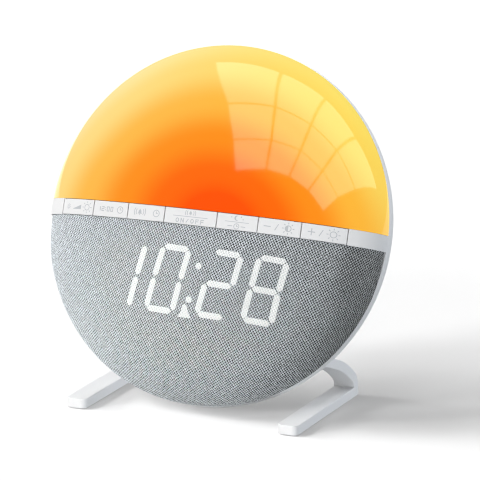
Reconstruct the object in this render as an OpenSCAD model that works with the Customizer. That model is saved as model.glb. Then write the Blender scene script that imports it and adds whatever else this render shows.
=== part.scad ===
// Sunrise alarm clock: a round disc that leans back on two bent legs.
// The front is a shallow half-ellipsoid. Its upper half is a milky lamp
// diffuser, its lower half is a cloth-covered panel with a lit display
// behind it, and a strip of seven push buttons runs between the two.
// Frame: +Z up, the front faces -Y, the table is Z = 0.

/* [Disc] */
// Outer diameter of the disc
disc_d = 160; // [150:1:170]
// Depth of the front dome from the rim plane to its crown
dome_h = 32.1; // [29:0.1:34]
// Angle that the disc leans back from upright
lean = 20.1; // [17:0.1:22]
// Height of the rim centre above the table
rim_z = 78.8; // [78:0.1:86]
// Width of the straight white band behind the rim
band = 3.6; // [3:0.1:5]
// Depth of the full ellipse that shapes the back
back_h = 25; // [24:0.5:26]
// Depth at which the back is cut flat
back_flat = 21; // [20:0.5:22]
// Wall of the white mouldings
wall = 2.2; // [1.8:0.1:2.6]

/* [Front shells] */
// Wall of the lamp diffuser
diffuser_wall = 2.2; // [1.8:0.1:2.2]
// Step from the white rim in to the cloth
cloth_step = 0.5; // [0.3:0.1:0.7]
// Thickness of the cloth
cloth_t = 0.8; // [0.6:0.1:1]
// Wall of the panel behind the cloth
panel_wall = 1.8; // [1.4:0.1:2]

/* [Buttons] */
// Upper edge of the button strip above the rim centre
strip_top = 3.3; // [3:0.1:3.5]
// Lower edge of the button strip below the rim centre
strip_bottom = 3.8; // [3.5:0.1:4]
// Width of the middle button's place
mid_key_w = 24.8; // [22:0.2:26]
// Width of each other button's place
key_w = 18.5; // [17:0.1:18.5]
// Gap between neighbouring buttons
key_gap = 0.4; // [0.3:0.05:0.5]
// Gap above and below a button
key_play = 0.15; // [0.15:0.05:0.25]
// Travel of a button
key_travel = 0.6; // [0.4:0.1:0.6]

/* [Display] */
// Height of a digit
digit_h = 28; // [24:1:28]
// Width of a digit between its outer edges
digit_w = 12; // [10:0.5:12]
// Width of a lit segment
seg_w = 2.4; // [2:0.1:2.6]
// Lean of the digits
digit_slant = 12.5; // [8:0.5:13]
// Sideways place of the display's middle
display_x = 4; // [0:0.5:4]
// Place of the display's middle below the rim centre
display_u = 27.8; // [26:0.1:28]

/* [Legs] */
// Sideways distance from the middle to each leg
leg_x = 50.6; // [48:0.1:51]
// Width of a leg
leg_w = 9.8; // [9:0.1:10]
// Thickness of a leg
leg_t = 4.7; // [4.4:0.1:4.9]
// Distance from the rim centre forward to the leg's front end
leg_front = 41.8; // [41:0.1:60]
// How far the pads stand out under a leg
pad_out = 0.4; // [0.3:0.1:0.6]

/* [Speaker] */
// Outer diameter of the speaker's flange
speaker_d = 42; // [40:1:42]
// Place of the speaker below the rim centre
speaker_u = 20; // [19:0.5:21]

/* [Hidden] */
$fn = 96;
R = disc_d/2;
// Sideways centring: the deepest front and back points decide where the rim centre lies.
y_front = leg_front;
y_back = band*cos(lean) + sqrt(pow(R*sin(lean), 2) + pow(back_h*cos(lean), 2));
rim_y = (y_front - y_back)/2;
SEG = 22;
flat_n = -band - back_flat;
in_flat_n = flat_n + wall;
// Divider places from left to right
edges = [-mid_key_w/2 - 3*key_w, -mid_key_w/2 - 2*key_w, -mid_key_w/2 - key_w, -mid_key_w/2,
         mid_key_w/2, mid_key_w/2 + key_w, mid_key_w/2 + 2*key_w, mid_key_w/2 + 3*key_w];
// Places of the button board's posts, under the dividers
key_posts = [edges[1], edges[3], edges[4], edges[6]];
chan_top = strip_top + 0.15;
chan_bot = -strip_bottom - 0.25;
deck_n = 12.2;
deck_t = 1.2;
key_board_n = 4.4;
pcb_t = 1.6;
switch_n = key_board_n + pcb_t;
switch_h = 3.5;
disp_board_n = 4.4;
box_n = disp_board_n + pcb_t;
box_h = 8;
box_x0 = display_x - 44.5;
box_x1 = display_x + 44.5;
box_u0 = -display_u - 18.5;
box_u1 = -display_u + 18;
lamp_n = -1.6;
main_n = -13;
house_r = 68;
house_a = [90, 25, 155, 270, 340, 200];
leg_u1 = -51;
stub_n = -5.6;
jack = [20, 17];
speaker_hole_r = speaker_d/2 - 1.7;
door = [-14, 15];
door_w = 23;
door_h = 24;

// Disc frame: x to the right, y up along the disc, z out of the front.
module disc() translate([0, rim_y, rim_z]) rotate([90 - lean, 0, 0]) children();

// Quarter ellipse from the rim to the axis.
function quarter(a, b) = [for (i = [0:SEG]) [a*cos(90*i/SEG), b*sin(90*i/SEG)]];
function flip(v) = [for (i = [len(v) - 1:-1:0]) v[i]];

// Solid half-ellipsoid in front of the rim plane.
module dome(a, b) rotate_extrude() polygon(concat([[0, 0]], quarter(a, b)));
// Half-ellipsoid shell between two sizes.
module dome_shell(a1, b1, a2, b2) rotate_extrude() polygon(concat(quarter(a1, b1), flip(quarter(a2, b2))));

// Back of the housing, filled: a band-end ellipse cut flat.
function back_curve(a, b, cut) = let(top = asin(cut/b))
    [for (i = [0:16]) [a*cos(top*i/16), -band - b*sin(top*i/16)]];
module back_solid(a, b, cut) rotate_extrude()
    polygon(concat([[0, -band]], back_curve(a, b, cut), [[0, -band - cut]]));
module back_shell() rotate_extrude()
    polygon(concat(back_curve(R, back_h, back_flat), [[0, flat_n], [0, in_flat_n]],
        flip(back_curve(R - wall, back_h - wall, back_flat - wall))));

module block(x0, x1, u0, u1, n0, n1) translate([x0, u0, n0]) cube([x1 - x0, u1 - u0, n1 - n0]);
module polar(r, a) translate([r*cos(a), r*sin(a), 0]) children();

// ---- Front shells ----
module light_diffuser() color([1, 0.72, 0.28]) disc() difference() {
    dome_shell(R, dome_h, R - diffuser_wall, dome_h - diffuser_wall);
    block(-R - 1, R + 1, -R - 1, strip_top + 0.05, -1, dome_h + 1);
}

fab_a = R - cloth_step;
fab_b = dome_h - 0.1;
module fabric_cover() color([0.62, 0.65, 0.67]) disc() difference() {
    dome_shell(fab_a, fab_b, fab_a - cloth_t, fab_b - cloth_t);
    block(-R - 1, R + 1, -strip_bottom - 0.1, R + 1, -1, dome_h + 1);
}

pan_a = fab_a - cloth_t - 0.02;
pan_b = fab_b - cloth_t - 0.02;
module grille_panel() color([0.2, 0.21, 0.22]) disc() difference() {
    dome_shell(pan_a, pan_b, pan_a - panel_wall, pan_b - panel_wall);
    block(-R - 1, R + 1, -strip_bottom - 0.1, R + 1, -1, dome_h + 1);
    block(box_x0 + 4, box_x1 - 4, box_u0 + 2.2, box_u1 - 1, 10, dome_h + 1);
}

// ---- White carrier of the front ----
module key_walls() {
    // upper wall, behind the diffuser's lower edge
    intersection() {
        dome(R - diffuser_wall - 0.05, dome_h - diffuser_wall - 0.05);
        block(-R, R, chan_top, chan_top + 1.5, -1, dome_h);
    }
    // lower wall, behind the panel's upper edge
    intersection() {
        dome(pan_a - panel_wall - 0.05, pan_b - panel_wall - 0.05);
        block(-R, R, chan_bot - 1.5, chan_bot, -1, dome_h);
    }
}
module strip_end(s) intersection() {
    dome(R, dome_h);
    block(s < 0 ? -R : edges[7] + key_gap/2, s < 0 ? edges[0] - key_gap/2 : R,
        -strip_bottom, strip_top, -1, dome_h);
}
module front_frame() color([0.94, 0.94, 0.95]) disc() difference() {
    union() {
        // band and the ledge that the shells stand on
        rotate_extrude() polygon([[R - 3.6, -band], [R, -band], [R, 0], [R - 3.6, 0]]);
        // flange, closed behind the lamp
        difference() {
            translate([0, 0, -band]) cylinder(r = R - 3, h = 2);
            difference() {
                translate([0, 0, -band - 1]) cylinder(r = 62, h = 4);
                block(-R, R, chan_top, R, -band - 2, 2);
            }
        }
        key_walls();
        // feet of the key walls across the open lower half
        block(-64, 64, chan_bot - 1.5, chan_bot, -band, 0);
        block(-64, 64, chan_top, chan_top + 1.5, -band, 0);
        strip_end(-1);
        strip_end(1);
        // end walls of the key channel
        block(-R + 6.6, edges[0] - key_gap/2, chan_bot - 0.5, chan_top + 0.5, -band, 8);
        block(edges[7] + key_gap/2, R - 6.6, chan_bot - 0.5, chan_top + 0.5, -band, 8);
        // deck that guides the button stems
        block(edges[0] - 2, edges[7] + 2, chan_bot - 0.3, chan_top + 0.3, deck_n, deck_n + deck_t);
        // posts that the button board is screwed to
        for (x = key_posts) translate([x, -0.3, switch_n]) cylinder(r = 2.2, h = deck_n - switch_n + 0.4);
        // bosses for the housing screws
        for (a = house_a) polar(house_r, a) translate([0, 0, -band]) cylinder(r = 3.6, h = band + 4);
        // posts for the display board
        translate([box_x0 - 3, box_u0 - 0.5, -band]) cylinder(r = 3, h = band + disp_board_n);
        translate([box_x1 + 3, box_u0 - 0.5, -band]) cylinder(r = 3, h = band + disp_board_n);
        block(box_x0 - 6, box_x0, box_u1 - 2, chan_bot, -band, disp_board_n);
        block(box_x1, box_x1 + 6, box_u1 - 2, chan_bot, -band, disp_board_n);
    }
    // stem guides
    for (i = [0:6]) key_at(i) block(-1.8, 1.8, -2.1, 1.5, deck_n - 1, deck_n + deck_t + 1);
    // pilot holes
    for (x = key_posts) translate([x, -0.3, switch_n - 1]) cylinder(r = 0.85, h = 6.4);
    for (a = house_a) polar(house_r, a) translate([0, 0, -band - 1]) cylinder(r = 1.25, h = 8);
    for (p = disp_holes) translate([p[0], p[1], -band + 1]) cylinder(r = 0.85, h = 10);
    for (p = lamp_holes) translate([p[0], p[1], -band - 1]) cylinder(r = 0.85, h = 4);
    // room for the leg screws' heads and for the leads
    intersection() {
        for (s = [-1, 1]) block(s*leg_x - 6.5, s*leg_x + 6.5, leg_u1 - 7.2, leg_u1 + 2.2, -band - 1, 0);
        translate([0, 0, -band - 2]) cylinder(r = 78.3, h = band + 4);
    }
    translate([0, 52, -band - 1]) cylinder(r = 3, h = 4);
}
disp_holes = [[box_x0 - 3, box_u0 - 0.5], [box_x1 + 3, box_u0 - 0.5], [box_x0 - 3, box_u1 + 0.5], [box_x1 + 3, box_u1 + 0.5]];
lamp_holes = [[-50, 12], [50, 12], [-30, 44], [30, 44]];

// ---- Buttons ----
function key_x(i) = (edges[i] + edges[i + 1])/2;
module key_at(i) translate([key_x(i), 0, 0]) children();
key_bot_n = switch_n + switch_h + 1;
module key(i) color([0.95, 0.95, 0.96]) disc() {
    x0 = edges[i] + key_gap/2;
    x1 = edges[i + 1] - key_gap/2;
    difference() {
        intersection() {
            dome(R, dome_h);
            block(x0, x1, -strip_bottom + key_play, strip_top - key_play, deck_n + deck_t, dome_h + 1);
        }
        // hollow underside between the cap and the stem
        intersection() {
            dome(R - 2.4, dome_h - 2.4);
            difference() {
                block(x0 - 1, x1 + 1, -strip_bottom - 1, strip_top + 1, 0, dome_h);
                block(key_x(i) - 1.6, key_x(i) + 1.6, -1.9, 1.3, -1, dome_h + 1);
            }
        }
    }
    // stem through the deck, with a catch below it
    block(key_x(i) - 1.6, key_x(i) + 1.6, -1.9, 1.3, key_bot_n, deck_n + deck_t + 1);
    block(key_x(i) - 2.4, key_x(i) + 2.4, -1.9, 1.3, deck_n - 1.05, deck_n - 0.05);
}
module plunger(i) color([0.12, 0.12, 0.13]) disc() key_at(i)
    translate([0, -0.3, switch_n + switch_h - 0.9]) cylinder(r = 1.7, h = 1.9);

module button_board() color([0.1, 0.35, 0.2]) disc() difference() {
    block(edges[0] + 0.4, edges[7] - 0.4, chan_bot + 0.2, chan_top - 0.2, key_board_n, key_board_n + pcb_t);
    for (x = key_posts) translate([x, -0.3, key_board_n - 1]) cylinder(r = 1.1, h = 4);
}
module tact_switches() color([0.75, 0.75, 0.76]) disc() for (i = [0:6]) key_at(i) difference() {
    block(-3, 3, -3.3, 2.7, switch_n, switch_n + switch_h);
    translate([0, -0.3, switch_n + switch_h - 1.7]) cylinder(r = 1.9, h = 3);
}

// ---- Display ----
digit_at = [-33, -12.2, 11.8, 32.2];
colon_at = [[1.4, 6.9], [-1.8, -7.9]];
module display_cells(w, h) {
    for (x = digit_at) translate([display_x + x, -display_u, 0]) linear_extrude(height = h) digit_shape(w);
    for (p = colon_at) translate([display_x + p[0], -display_u + p[1], 0]) cylinder(r = 1.3, h = h);
    translate([display_x - 2.4, -display_u - 15.4, 0]) linear_extrude(height = h) polygon([[-2.4, -1.6], [2.4, -1.6], [0.9, 2.2], [-0.9, 2.2]]);
}
// Digit outline cells with the lean worked into the points.
function lean_pt(p) = [p[0] + p[1]*tan(digit_slant), p[1]];
module cell(points) polygon([for (p = points) lean_pt(p)]);
module digit_shape(w) {
    hx = digit_w/2 - seg_w/2;
    hz = digit_h/2 - seg_w/2;
    l = hx - 0.25;
    for (k = [-1, 0, 1]) let(z = k*hz)
        cell([[-l, z], [-l + w/2, z + w/2], [l - w/2, z + w/2], [l, z], [l - w/2, z - w/2], [-l + w/2, z - w/2]]);
    for (sx = [-1, 1]) for (sz = [-1, 1]) let(x = sx*hx, c = sz*hz/2, m = hz/2 - 0.25)
        cell([[x, c - m], [x + w/2, c - m + w/2], [x + w/2, c + m - w/2], [x, c + m], [x - w/2, c + m - w/2], [x - w/2, c - m + w/2]]);
}
module display_board() color([0.1, 0.35, 0.2]) disc() difference() {
    block(box_x0 - 6, box_x1 + 6, box_u0 - 3.5, chan_bot - 1.8, disp_board_n, disp_board_n + pcb_t);
    for (p = disp_holes) translate([p[0], p[1], disp_board_n - 1]) cylinder(r = 1.1, h = 4);
}
module display_light_box() color([0.93, 0.93, 0.9]) disc() difference() {
    block(box_x0, box_x1, box_u0, box_u1, box_n, box_n + box_h);
    translate([0, 0, box_n - 1]) display_cells(seg_w, box_h + 2);
}
module display_leds() color([1, 0.95, 0.8]) disc() translate([0, -display_u, 0]) {
    hx = digit_w/2 - seg_w/2;
    hz = digit_h/2 - seg_w/2;
    for (x = digit_at) translate([display_x + x, 0, 0]) {
        for (k = [-1, 0, 1]) let(p = lean_pt([0, k*hz])) block(p[0] - 0.8, p[0] + 0.8, p[1] - 0.5, p[1] + 0.5, box_n, box_n + 0.7);
        for (sx = [-1, 1]) for (sz = [-1, 1]) let(p = lean_pt([sx*hx, sz*hz/2])) block(p[0] - 0.5, p[0] + 0.5, p[1] - 0.8, p[1] + 0.8, box_n, box_n + 0.7);
    }
    for (p = colon_at) block(display_x + p[0] - 0.5, display_x + p[0] + 0.5, p[1] - 0.5, p[1] + 0.5, box_n, box_n + 0.7);
    block(display_x - 2.9, display_x - 1.9, -15.9, -14.9, box_n, box_n + 0.7);
}
module display_film() color([0.9, 0.9, 0.92, 0.8]) disc()
    block(box_x0 + 1, box_x1 - 4, box_u0 + 3, box_u1 - 1, box_n + box_h, box_n + box_h + 0.3);

// ---- Lamp ----
module half_disc(r, u0, n0, n1) intersection() {
    translate([0, 0, n0]) cylinder(r = r, h = n1 - n0);
    block(-r, r, u0, r, n0 - 1, n1 + 1);
}
led_at = concat([for (i = [0:4]) [14*cos(18 + i*36), 14 + 10*sin(18 + i*36)]],
    [for (i = [0:8]) [40*cos(10 + i*20), 11 + 36*sin(10 + i*20)]]);
module lamp_board() color([0.9, 0.9, 0.88]) disc() difference() {
    half_disc(58, 6.5, lamp_n, lamp_n + pcb_t);
    for (p = lamp_holes) translate([p[0], p[1], lamp_n - 1]) cylinder(r = 1.1, h = 4);
}
module lamp_leds() color([1, 0.85, 0.4]) disc() for (p = led_at)
    block(p[0] - 1.75, p[0] + 1.75, p[1] - 1.75, p[1] + 1.75, lamp_n + pcb_t, lamp_n + pcb_t + 1.2);
module lamp_reflector() color([0.97, 0.97, 0.97]) disc() difference() {
    union() {
        half_disc(63.6, chan_top + 1.6, lamp_n + pcb_t, lamp_n + pcb_t + 1);
        difference() {
            half_disc(63.6, chan_top + 1.6, lamp_n + pcb_t, 6);
            translate([0, 0, -5]) cylinder(r = 62.4, h = 20);
        }
    }
    for (p = led_at) block(p[0] - 2.2, p[0] + 2.2, p[1] - 2.2, p[1] + 2.2, -5, 5);
    for (p = lamp_holes) translate([p[0], p[1], -5]) cylinder(r = 2.3, h = 10);
}

// ---- Back of the housing ----
module rear_shell() color([0.92, 0.93, 0.94]) disc() difference() {
    union() {
        back_shell();
        intersection() {
            back_solid(R - 0.4, back_h - 0.4, back_flat - 0.4);
            union() {
                // posts for the housing screws
                for (a = house_a) polar(house_r, a) translate([0, 0, -30]) cylinder(r = 4.4, h = 30 - band);
                // sockets for the legs
                for (s = [-1, 1]) block(s*leg_x - leg_w/2 - 2, s*leg_x + leg_w/2 + 2, leg_u1 - leg_t - 2, leg_u1 + 2, -30, -band - 0.2);
                // posts for the main board
                for (x = [-34, 34]) for (u = [8, 42]) translate([x, u, -30]) cylinder(r = 3, h = 30 + main_n);
                // pocket for the coin cell
                block(door[0] - 11.8, door[0] + 11.8, door[1] - 12.2, door[1] + 12.2, -30, in_flat_n + 4.2);
                // posts for the speaker
                for (a = [45:90:315]) translate([0, -speaker_u, 0]) polar(speaker_hole_r, a) translate([0, 0, -30]) cylinder(r = 1.5, h = 30 + in_flat_n + 1);
                // boss for the door screw
                translate([door[0], door[1] + 14.6, -30]) cylinder(r = 3, h = 30 + in_flat_n + 3);
            }
        }
    }
    for (a = house_a) polar(house_r, a) {
        translate([0, 0, -30]) cylinder(r = 1.7, h = 40);
        translate([0, 0, -30]) cylinder(r = 3.2, h = 30 - 9);
    }
    for (s = [-1, 1]) {
        block(s*leg_x - leg_w/2 - 0.15, s*leg_x + leg_w/2 + 0.15, leg_u1 - leg_t - 0.15, leg_u1 + 0.15, -40, stub_n + 0.1);
        for (d = [-2.6, 2.6]) translate([s*leg_x + d, leg_u1 - leg_t/2, -10]) cylinder(r = 1.2, h = 12);
    }
    for (x = [-34, 34]) for (u = [8, 42]) translate([x, u, main_n - 5]) cylinder(r = 0.85, h = 6);
    // door recess and the cell's pocket
    block(door[0] - door_w/2 - 0.2, door[0] + door_w/2 + 0.2, door[1] - door_h/2 - 0.2, door[1] + door_h/2 + 0.2, -30, flat_n + 1.5);
    translate([door[0], door[1] + 14.6, -30]) cylinder(r = 3.4, h = 30 + flat_n + 1.5);
    translate([door[0], door[1] + 14.6, -30]) cylinder(r = 0.8, h = 30 + in_flat_n + 2.6);
    block(door[0] - 3.4, door[0] + 3.4, door[1] + door_h/2 - 1, door[1] + 14.6, -30, flat_n + 1.5);
    translate([door[0], door[1], -30]) cylinder(r = 10.4, h = 30 + in_flat_n + 3);
    // jack opening
    translate([jack[0], jack[1], -30]) cylinder(r = 4.3, h = 10);
    // speaker openings in rings
    translate([0, -speaker_u, -30]) for (k = [0:3]) for (i = [0:max(0, 6*k - 1)])
        polar(3.9*k, k == 0 ? 0 : 360*i/(6*k)) cylinder(r = 1.1, h = 10);
    for (a = [45:90:315]) translate([0, -speaker_u, 0]) polar(speaker_hole_r, a) translate([0, 0, in_flat_n - 1.2]) cylinder(r = 0.85, h = 4);
    // vents above the middle
    for (i = [-3:3]) block(i*7 - 1.1, i*7 + 1.1, 50, 60, -30, -10);
}

module housing_screws() color([0.72, 0.73, 0.75]) disc() for (a = house_a) polar(house_r, a) {
    translate([0, 0, -9]) cylinder(r = 1.2, h = 11.2);
    difference() {
        translate([0, 0, -11]) cylinder(r = 2.8, h = 2);
        cross_slot(-11);
    }
}
module cross_slot(n) {
    block(-1.5, 1.5, -0.35, 0.35, n - 1, n + 0.9);
    block(-0.35, 0.35, -1.5, 1.5, n - 1, n + 0.9);
}
module board_screws() color([0.72, 0.73, 0.75]) disc() {
    for (x = key_posts) translate([x, -0.3, 0]) small_screw(key_board_n, 6.2, 1);
    for (p = disp_holes) translate([p[0], p[1], 0]) small_screw(disp_board_n + pcb_t, 6, -1);
    for (p = lamp_holes) translate([p[0], p[1], 0]) small_screw(lamp_n + pcb_t, 3.4, -1);
    for (x = [-34, 34]) for (u = [8, 42]) translate([x, u, 0]) small_screw(main_n + pcb_t, 6, -1);
}
// Pan-head screw at face n, its shank running the way of dir.
module small_screw(n, len, dir, head = 1.9) {
    translate([0, 0, dir > 0 ? n : n - len]) cylinder(r = 0.8, h = len);
    difference() {
        translate([0, 0, dir > 0 ? n - 1.2 : n]) cylinder(r = head, h = 1.2);
        block(-1.1, 1.1, -0.25, 0.25, dir > 0 ? n - 2 : n + 0.6, dir > 0 ? n - 0.6 : n + 2);
        block(-0.25, 0.25, -1.1, 1.1, dir > 0 ? n - 2 : n + 0.6, dir > 0 ? n - 0.6 : n + 2);
    }
}

// ---- Main board and inlet ----
module main_board() color([0.08, 0.3, 0.18]) disc() difference() {
    block(-38, 38, 4.5, 46, main_n, main_n + pcb_t);
    for (x = [-34, 34]) for (u = [8, 42]) translate([x, u, main_n - 1]) cylinder(r = 1.1, h = 4);
}
module main_chips() color([0.09, 0.09, 0.1]) disc() {
    f = main_n + pcb_t;
    block(-6, 6, 18, 30, f, f + 1.6);
    block(-26, -18, 26, 32, f, f + 1.5);
    block(14, 20, 30, 35, f, f + 1.5);
    block(-26, -20, 12, 15, f, f + 1.2);
    block(4, 12, 36, 38.6, f, f + 2.6);
    for (p = [[24, 12], [24, 20], [-12, 38]]) translate([p[0], p[1], f]) cylinder(r = 2.5, h = 5.4);
    for (i = [0:7]) block(-14 + i*2.2, -13 + i*2.2, 12, 12.6, f, f + 0.5);
}
module power_jack() color([0.1, 0.1, 0.11]) disc() translate([jack[0], jack[1], 0]) {
    difference() {
        union() {
            block(-4.6, 4.6, -5, 5, in_flat_n + 0.4, main_n);
            translate([0, 0, flat_n + 0.6]) cylinder(r = 3.9, h = 4);
        }
        translate([0, 0, flat_n - 1]) cylinder(r = 2.85, h = 9.6);
    }
    translate([0, 0, flat_n + 1.6]) cylinder(r = 1, h = 8);
}

// ---- Coin cell ----
module coin_cell() color([0.78, 0.79, 0.8]) disc() translate([door[0], door[1], flat_n + 1.55 + 0.35]) {
    cylinder(r = 10, h = 2.5);
    translate([0, 0, 2.5]) cylinder(r = 8.8, h = 0.6);
}
module cell_contacts() color([0.85, 0.75, 0.45]) disc() translate([door[0], door[1], 0]) {
    translate([0, 0, in_flat_n + 2.85]) cylinder(r = 3, h = 0.15);
    block(-1.5, 1.5, -10.3, -10.1, flat_n + 2.4, in_flat_n + 3);
}
module cell_door() color([0.9, 0.91, 0.92]) disc() {
    difference() {
        union() {
            block(door[0] - door_w/2, door[0] + door_w/2, door[1] - door_h/2, door[1] + door_h/2, flat_n + 0.05, flat_n + 1.4);
            translate([door[0], door[1] + 14.6, flat_n + 0.05]) cylinder(r = 3.2, h = 1.35);
            block(door[0] - 3.2, door[0] + 3.2, door[1] + door_h/2 - 1, door[1] + 14.6, flat_n + 0.05, flat_n + 1.4);
        }
        translate([door[0], door[1] + 14.6, flat_n - 1]) cylinder(r = 1.1, h = 4);
    }
}
module cell_door_screw() color([0.72, 0.73, 0.75]) disc() translate([door[0], door[1] + 14.6, 0]) {
    translate([0, 0, flat_n]) cylinder(r = 0.75, h = 4.6);
    difference() {
        translate([0, 0, flat_n - 0.75]) cylinder(r = 1.8, h = 0.8);
        block(-1.1, 1.1, -0.25, 0.25, flat_n - 1, flat_n - 0.3);
        block(-0.25, 0.25, -1.1, 1.1, flat_n - 1, flat_n - 0.3);
    }
}

// ---- Speaker, firing out of the back ----
module at_speaker() disc() translate([0, -speaker_u, in_flat_n + 1]) children();
sr = speaker_d/2;
module speaker_gasket() color([0.12, 0.12, 0.12]) disc() translate([0, -speaker_u, in_flat_n]) difference() {
    cylinder(r = 17.6, h = 1);
    translate([0, 0, -1]) cylinder(r = 15.6, h = 4);
}
module speaker_basket() color([0.3, 0.31, 0.32]) at_speaker() difference() {
    rotate_extrude() polygon([[16, 0], [sr, 0], [sr, 1], [17.4, 1], [14, 6], [14, 8], [7, 8], [7, 7], [13, 7], [13, 5.6], [16, 1.8]]);
    for (a = [45:90:315]) polar(speaker_hole_r, a) translate([0, 0, -1]) cylinder(r = 0.9, h = 4);
}
module speaker_cone() color([0.14, 0.14, 0.15]) at_speaker()
    rotate_extrude() polygon([[0, 2.4], [4, 2.2], [13.2, 1.1], [13.2, 1.5], [5, 4.4], [5, 6.4], [4.4, 6.4], [4.4, 4.2], [0, 2.9]]);
module speaker_surround() color([0.08, 0.08, 0.08]) at_speaker()
    rotate_extrude() polygon([[13.3, 1.1], [14.2, 0.5], [15.1, 0.5], [15.9, 1.1], [15.9, 1.6], [15, 0.9], [14.3, 0.9], [13.3, 1.6]]);
module speaker_magnet() color([0.35, 0.35, 0.36]) at_speaker() difference() {
    translate([0, 0, 8]) cylinder(r = 11, h = 5.5);
    translate([0, 0, 7]) difference() {
        cylinder(r = 5.8, h = 4);
        translate([0, 0, -1]) cylinder(r = 3.6, h = 6);
    }
}
module speaker_screws() color([0.72, 0.73, 0.75]) at_speaker() for (a = [45:90:315]) polar(speaker_hole_r, a)
    small_screw(1, 3, -1, 1.5);

// ---- Leads ----
// Ring of points round p, square to direction d.
function unit(v) = v/norm(v);
function ring(p, d, r) = let(a = unit(cross(d, [0.31, 0.17, 0.93])), b = unit(cross(d, a)))
    [for (k = [0:7]) p + r*(a*cos(45*k) + b*sin(45*k))];
module tube(path, r) {
    n = len(path);
    dirs = [for (i = [0:n - 1]) path[min(i + 1, n - 1)] - path[max(i - 1, 0)]];
    pts = concat([for (i = [0:n - 1]) each ring(path[i], dirs[i], r)], [path[0], path[n - 1]]);
    faces = concat(
        [for (i = [0:n - 2]) for (k = [0:7]) [8*i + k, 8*i + (k + 1) % 8, 8*i + 8 + (k + 1) % 8]],
        [for (i = [0:n - 2]) for (k = [0:7]) [8*i + k, 8*i + 8 + (k + 1) % 8, 8*i + 8 + k]],
        [for (k = [0:7]) [8*n, (k + 1) % 8, k]],
        [for (k = [0:7]) [8*n + 1, 8*(n - 1) + k, 8*(n - 1) + (k + 1) % 8]]);
    polyhedron(points = pts, faces = faces);
}
// Points of a curve through three control points after the start.
function bez(a, b, c, d, m) = [for (i = [0:m]) let(t = i/m)
    pow(1 - t, 3)*a + 3*pow(1 - t, 2)*t*b + 3*(1 - t)*t*t*c + pow(t, 3)*d];
plug_n = main_n + pcb_t + 3.2;
module lamp_lead() color([0.8, 0.2, 0.15]) disc()
    tube(bez([-2, 42.6, plug_n], [-2, 47, plug_n + 1], [0, 52, -8], [0, 52, -1.9], 12), 0.9);
module display_lead() color([0.85, 0.85, 0.8]) disc()
    tube(bez([-28, 8.3, plug_n], [-28, 0, plug_n + 2], [-30, -20, -10], [-30, -23, 0.1], 12), 0.9);
module key_lead() color([0.2, 0.3, 0.75]) disc()
    tube(bez([10, 8.3, plug_n], [10, 2, plug_n + 2], [2, -0.3, -8], [2, -0.3, 1.5], 12), 0.9);
module speaker_lead() color([0.1, 0.1, 0.1]) disc()
    tube(bez([-6, 8.4, plug_n], [-6, 2, plug_n + 2], [-20, -4, -8], [-17.6, -11, -19], 12), 0.7);
module cell_lead() color([0.75, 0.12, 0.12]) disc()
    tube(bez([-25.2, 34, main_n - 0.2], [-25.2, 34, main_n - 4.2], [-31.5, 19.5, -17.5], [-26.2, 18, -17.5], 12), 0.5);
module lead_connectors() color([0.93, 0.92, 0.86]) disc() {
    f = main_n + pcb_t;
    block(-5, 1, 38.5, 42.3, f, f + 5);
    block(-31, -25, 8.7, 11, f, f + 5);
    block(6, 14, 8.7, 11, f, f + 5);
    block(-9, -3, 8.7, 11, f, f + 5);
    block(-33, -27, -24.5, -22, disp_board_n - 4, disp_board_n);
    block(-1, 5, -2.3, 1.7, key_board_n - 2.7, key_board_n);
}

// ---- Legs ----
arm_end = 37.5;
arm_r1 = 73;
arm_r2 = 10.8;
function row(u, n) = [rim_y + u*sin(lean) - n*cos(lean), rim_z + u*cos(lean) + n*sin(lean)];
start_n = -23.2;
pA = row(leg_u1, start_n);
c1 = pA - arm_r1*[sin(lean), cos(lean)];
pB = c1 + arm_r1*[sin(arm_end), cos(arm_end)];
c2 = pB - arm_r2*[sin(arm_end), cos(arm_end)];
function arc(c, r, a0, a1, m) = [for (i = [0:m]) let(a = a0 + (a1 - a0)*i/m) c + r*[sin(a), cos(a)]];
leg_back = c2[0] + arm_r2;
bar_top = 4.8;
leg_fore = rim_y - leg_front;
module leg_side() polygon(concat([row(leg_u1, stub_n)], arc(c1, arm_r1, lean, arm_end, 6), arc(c2, arm_r2, arm_end, 90, 9),
    [[leg_back, pad_out + 0.8], [leg_back - 0.25, pad_out + 0.25], [leg_back - 0.8, pad_out],
     [leg_fore + 0.3, pad_out], [leg_fore, pad_out + 0.3], [leg_fore, bar_top - 0.3], [leg_fore + 0.3, bar_top],
     [leg_back - leg_t - 0.5, bar_top]],
    [for (p = flip(arc(c2, arm_r2 - leg_t, arm_end, 90, 9))) if (p[1] > bar_top + 0.4) p],
    flip(arc(c1, arm_r1 - leg_t, lean, arm_end, 6)), [row(leg_u1 - leg_t, stub_n)]));
pad_y = [rim_y - leg_front + 3, leg_back - 17];
pad_l = 12;
module leg(s) color([0.9, 0.91, 0.93]) difference() {
    translate([s*leg_x - leg_w/2, 0, 0]) rotate([90, 0, 90]) linear_extrude(height = leg_w) leg_side();
    for (y = pad_y) translate([s*leg_x - 3.6, y - 0.1, -1]) cube([7.2, pad_l + 0.2, 1 + pad_out + 0.8]);
    disc() for (d = [-2.6, 2.6]) translate([s*leg_x + d, leg_u1 - leg_t/2, stub_n - 9]) cylinder(r = 0.85, h = 10);
}
module leg_pads() color([0.75, 0.76, 0.77]) for (s = [-1, 1]) for (y = pad_y)
    translate([s*leg_x - 3.5, y, 0]) cube([7, pad_l, pad_out + 0.8]);
module leg_screws() color([0.72, 0.73, 0.75]) disc() for (s = [-1, 1]) for (d = [-2.6, 2.6])
    translate([s*leg_x + d, leg_u1 - leg_t/2, 0]) small_screw(-band - 0.2, 9, -1);

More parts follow.
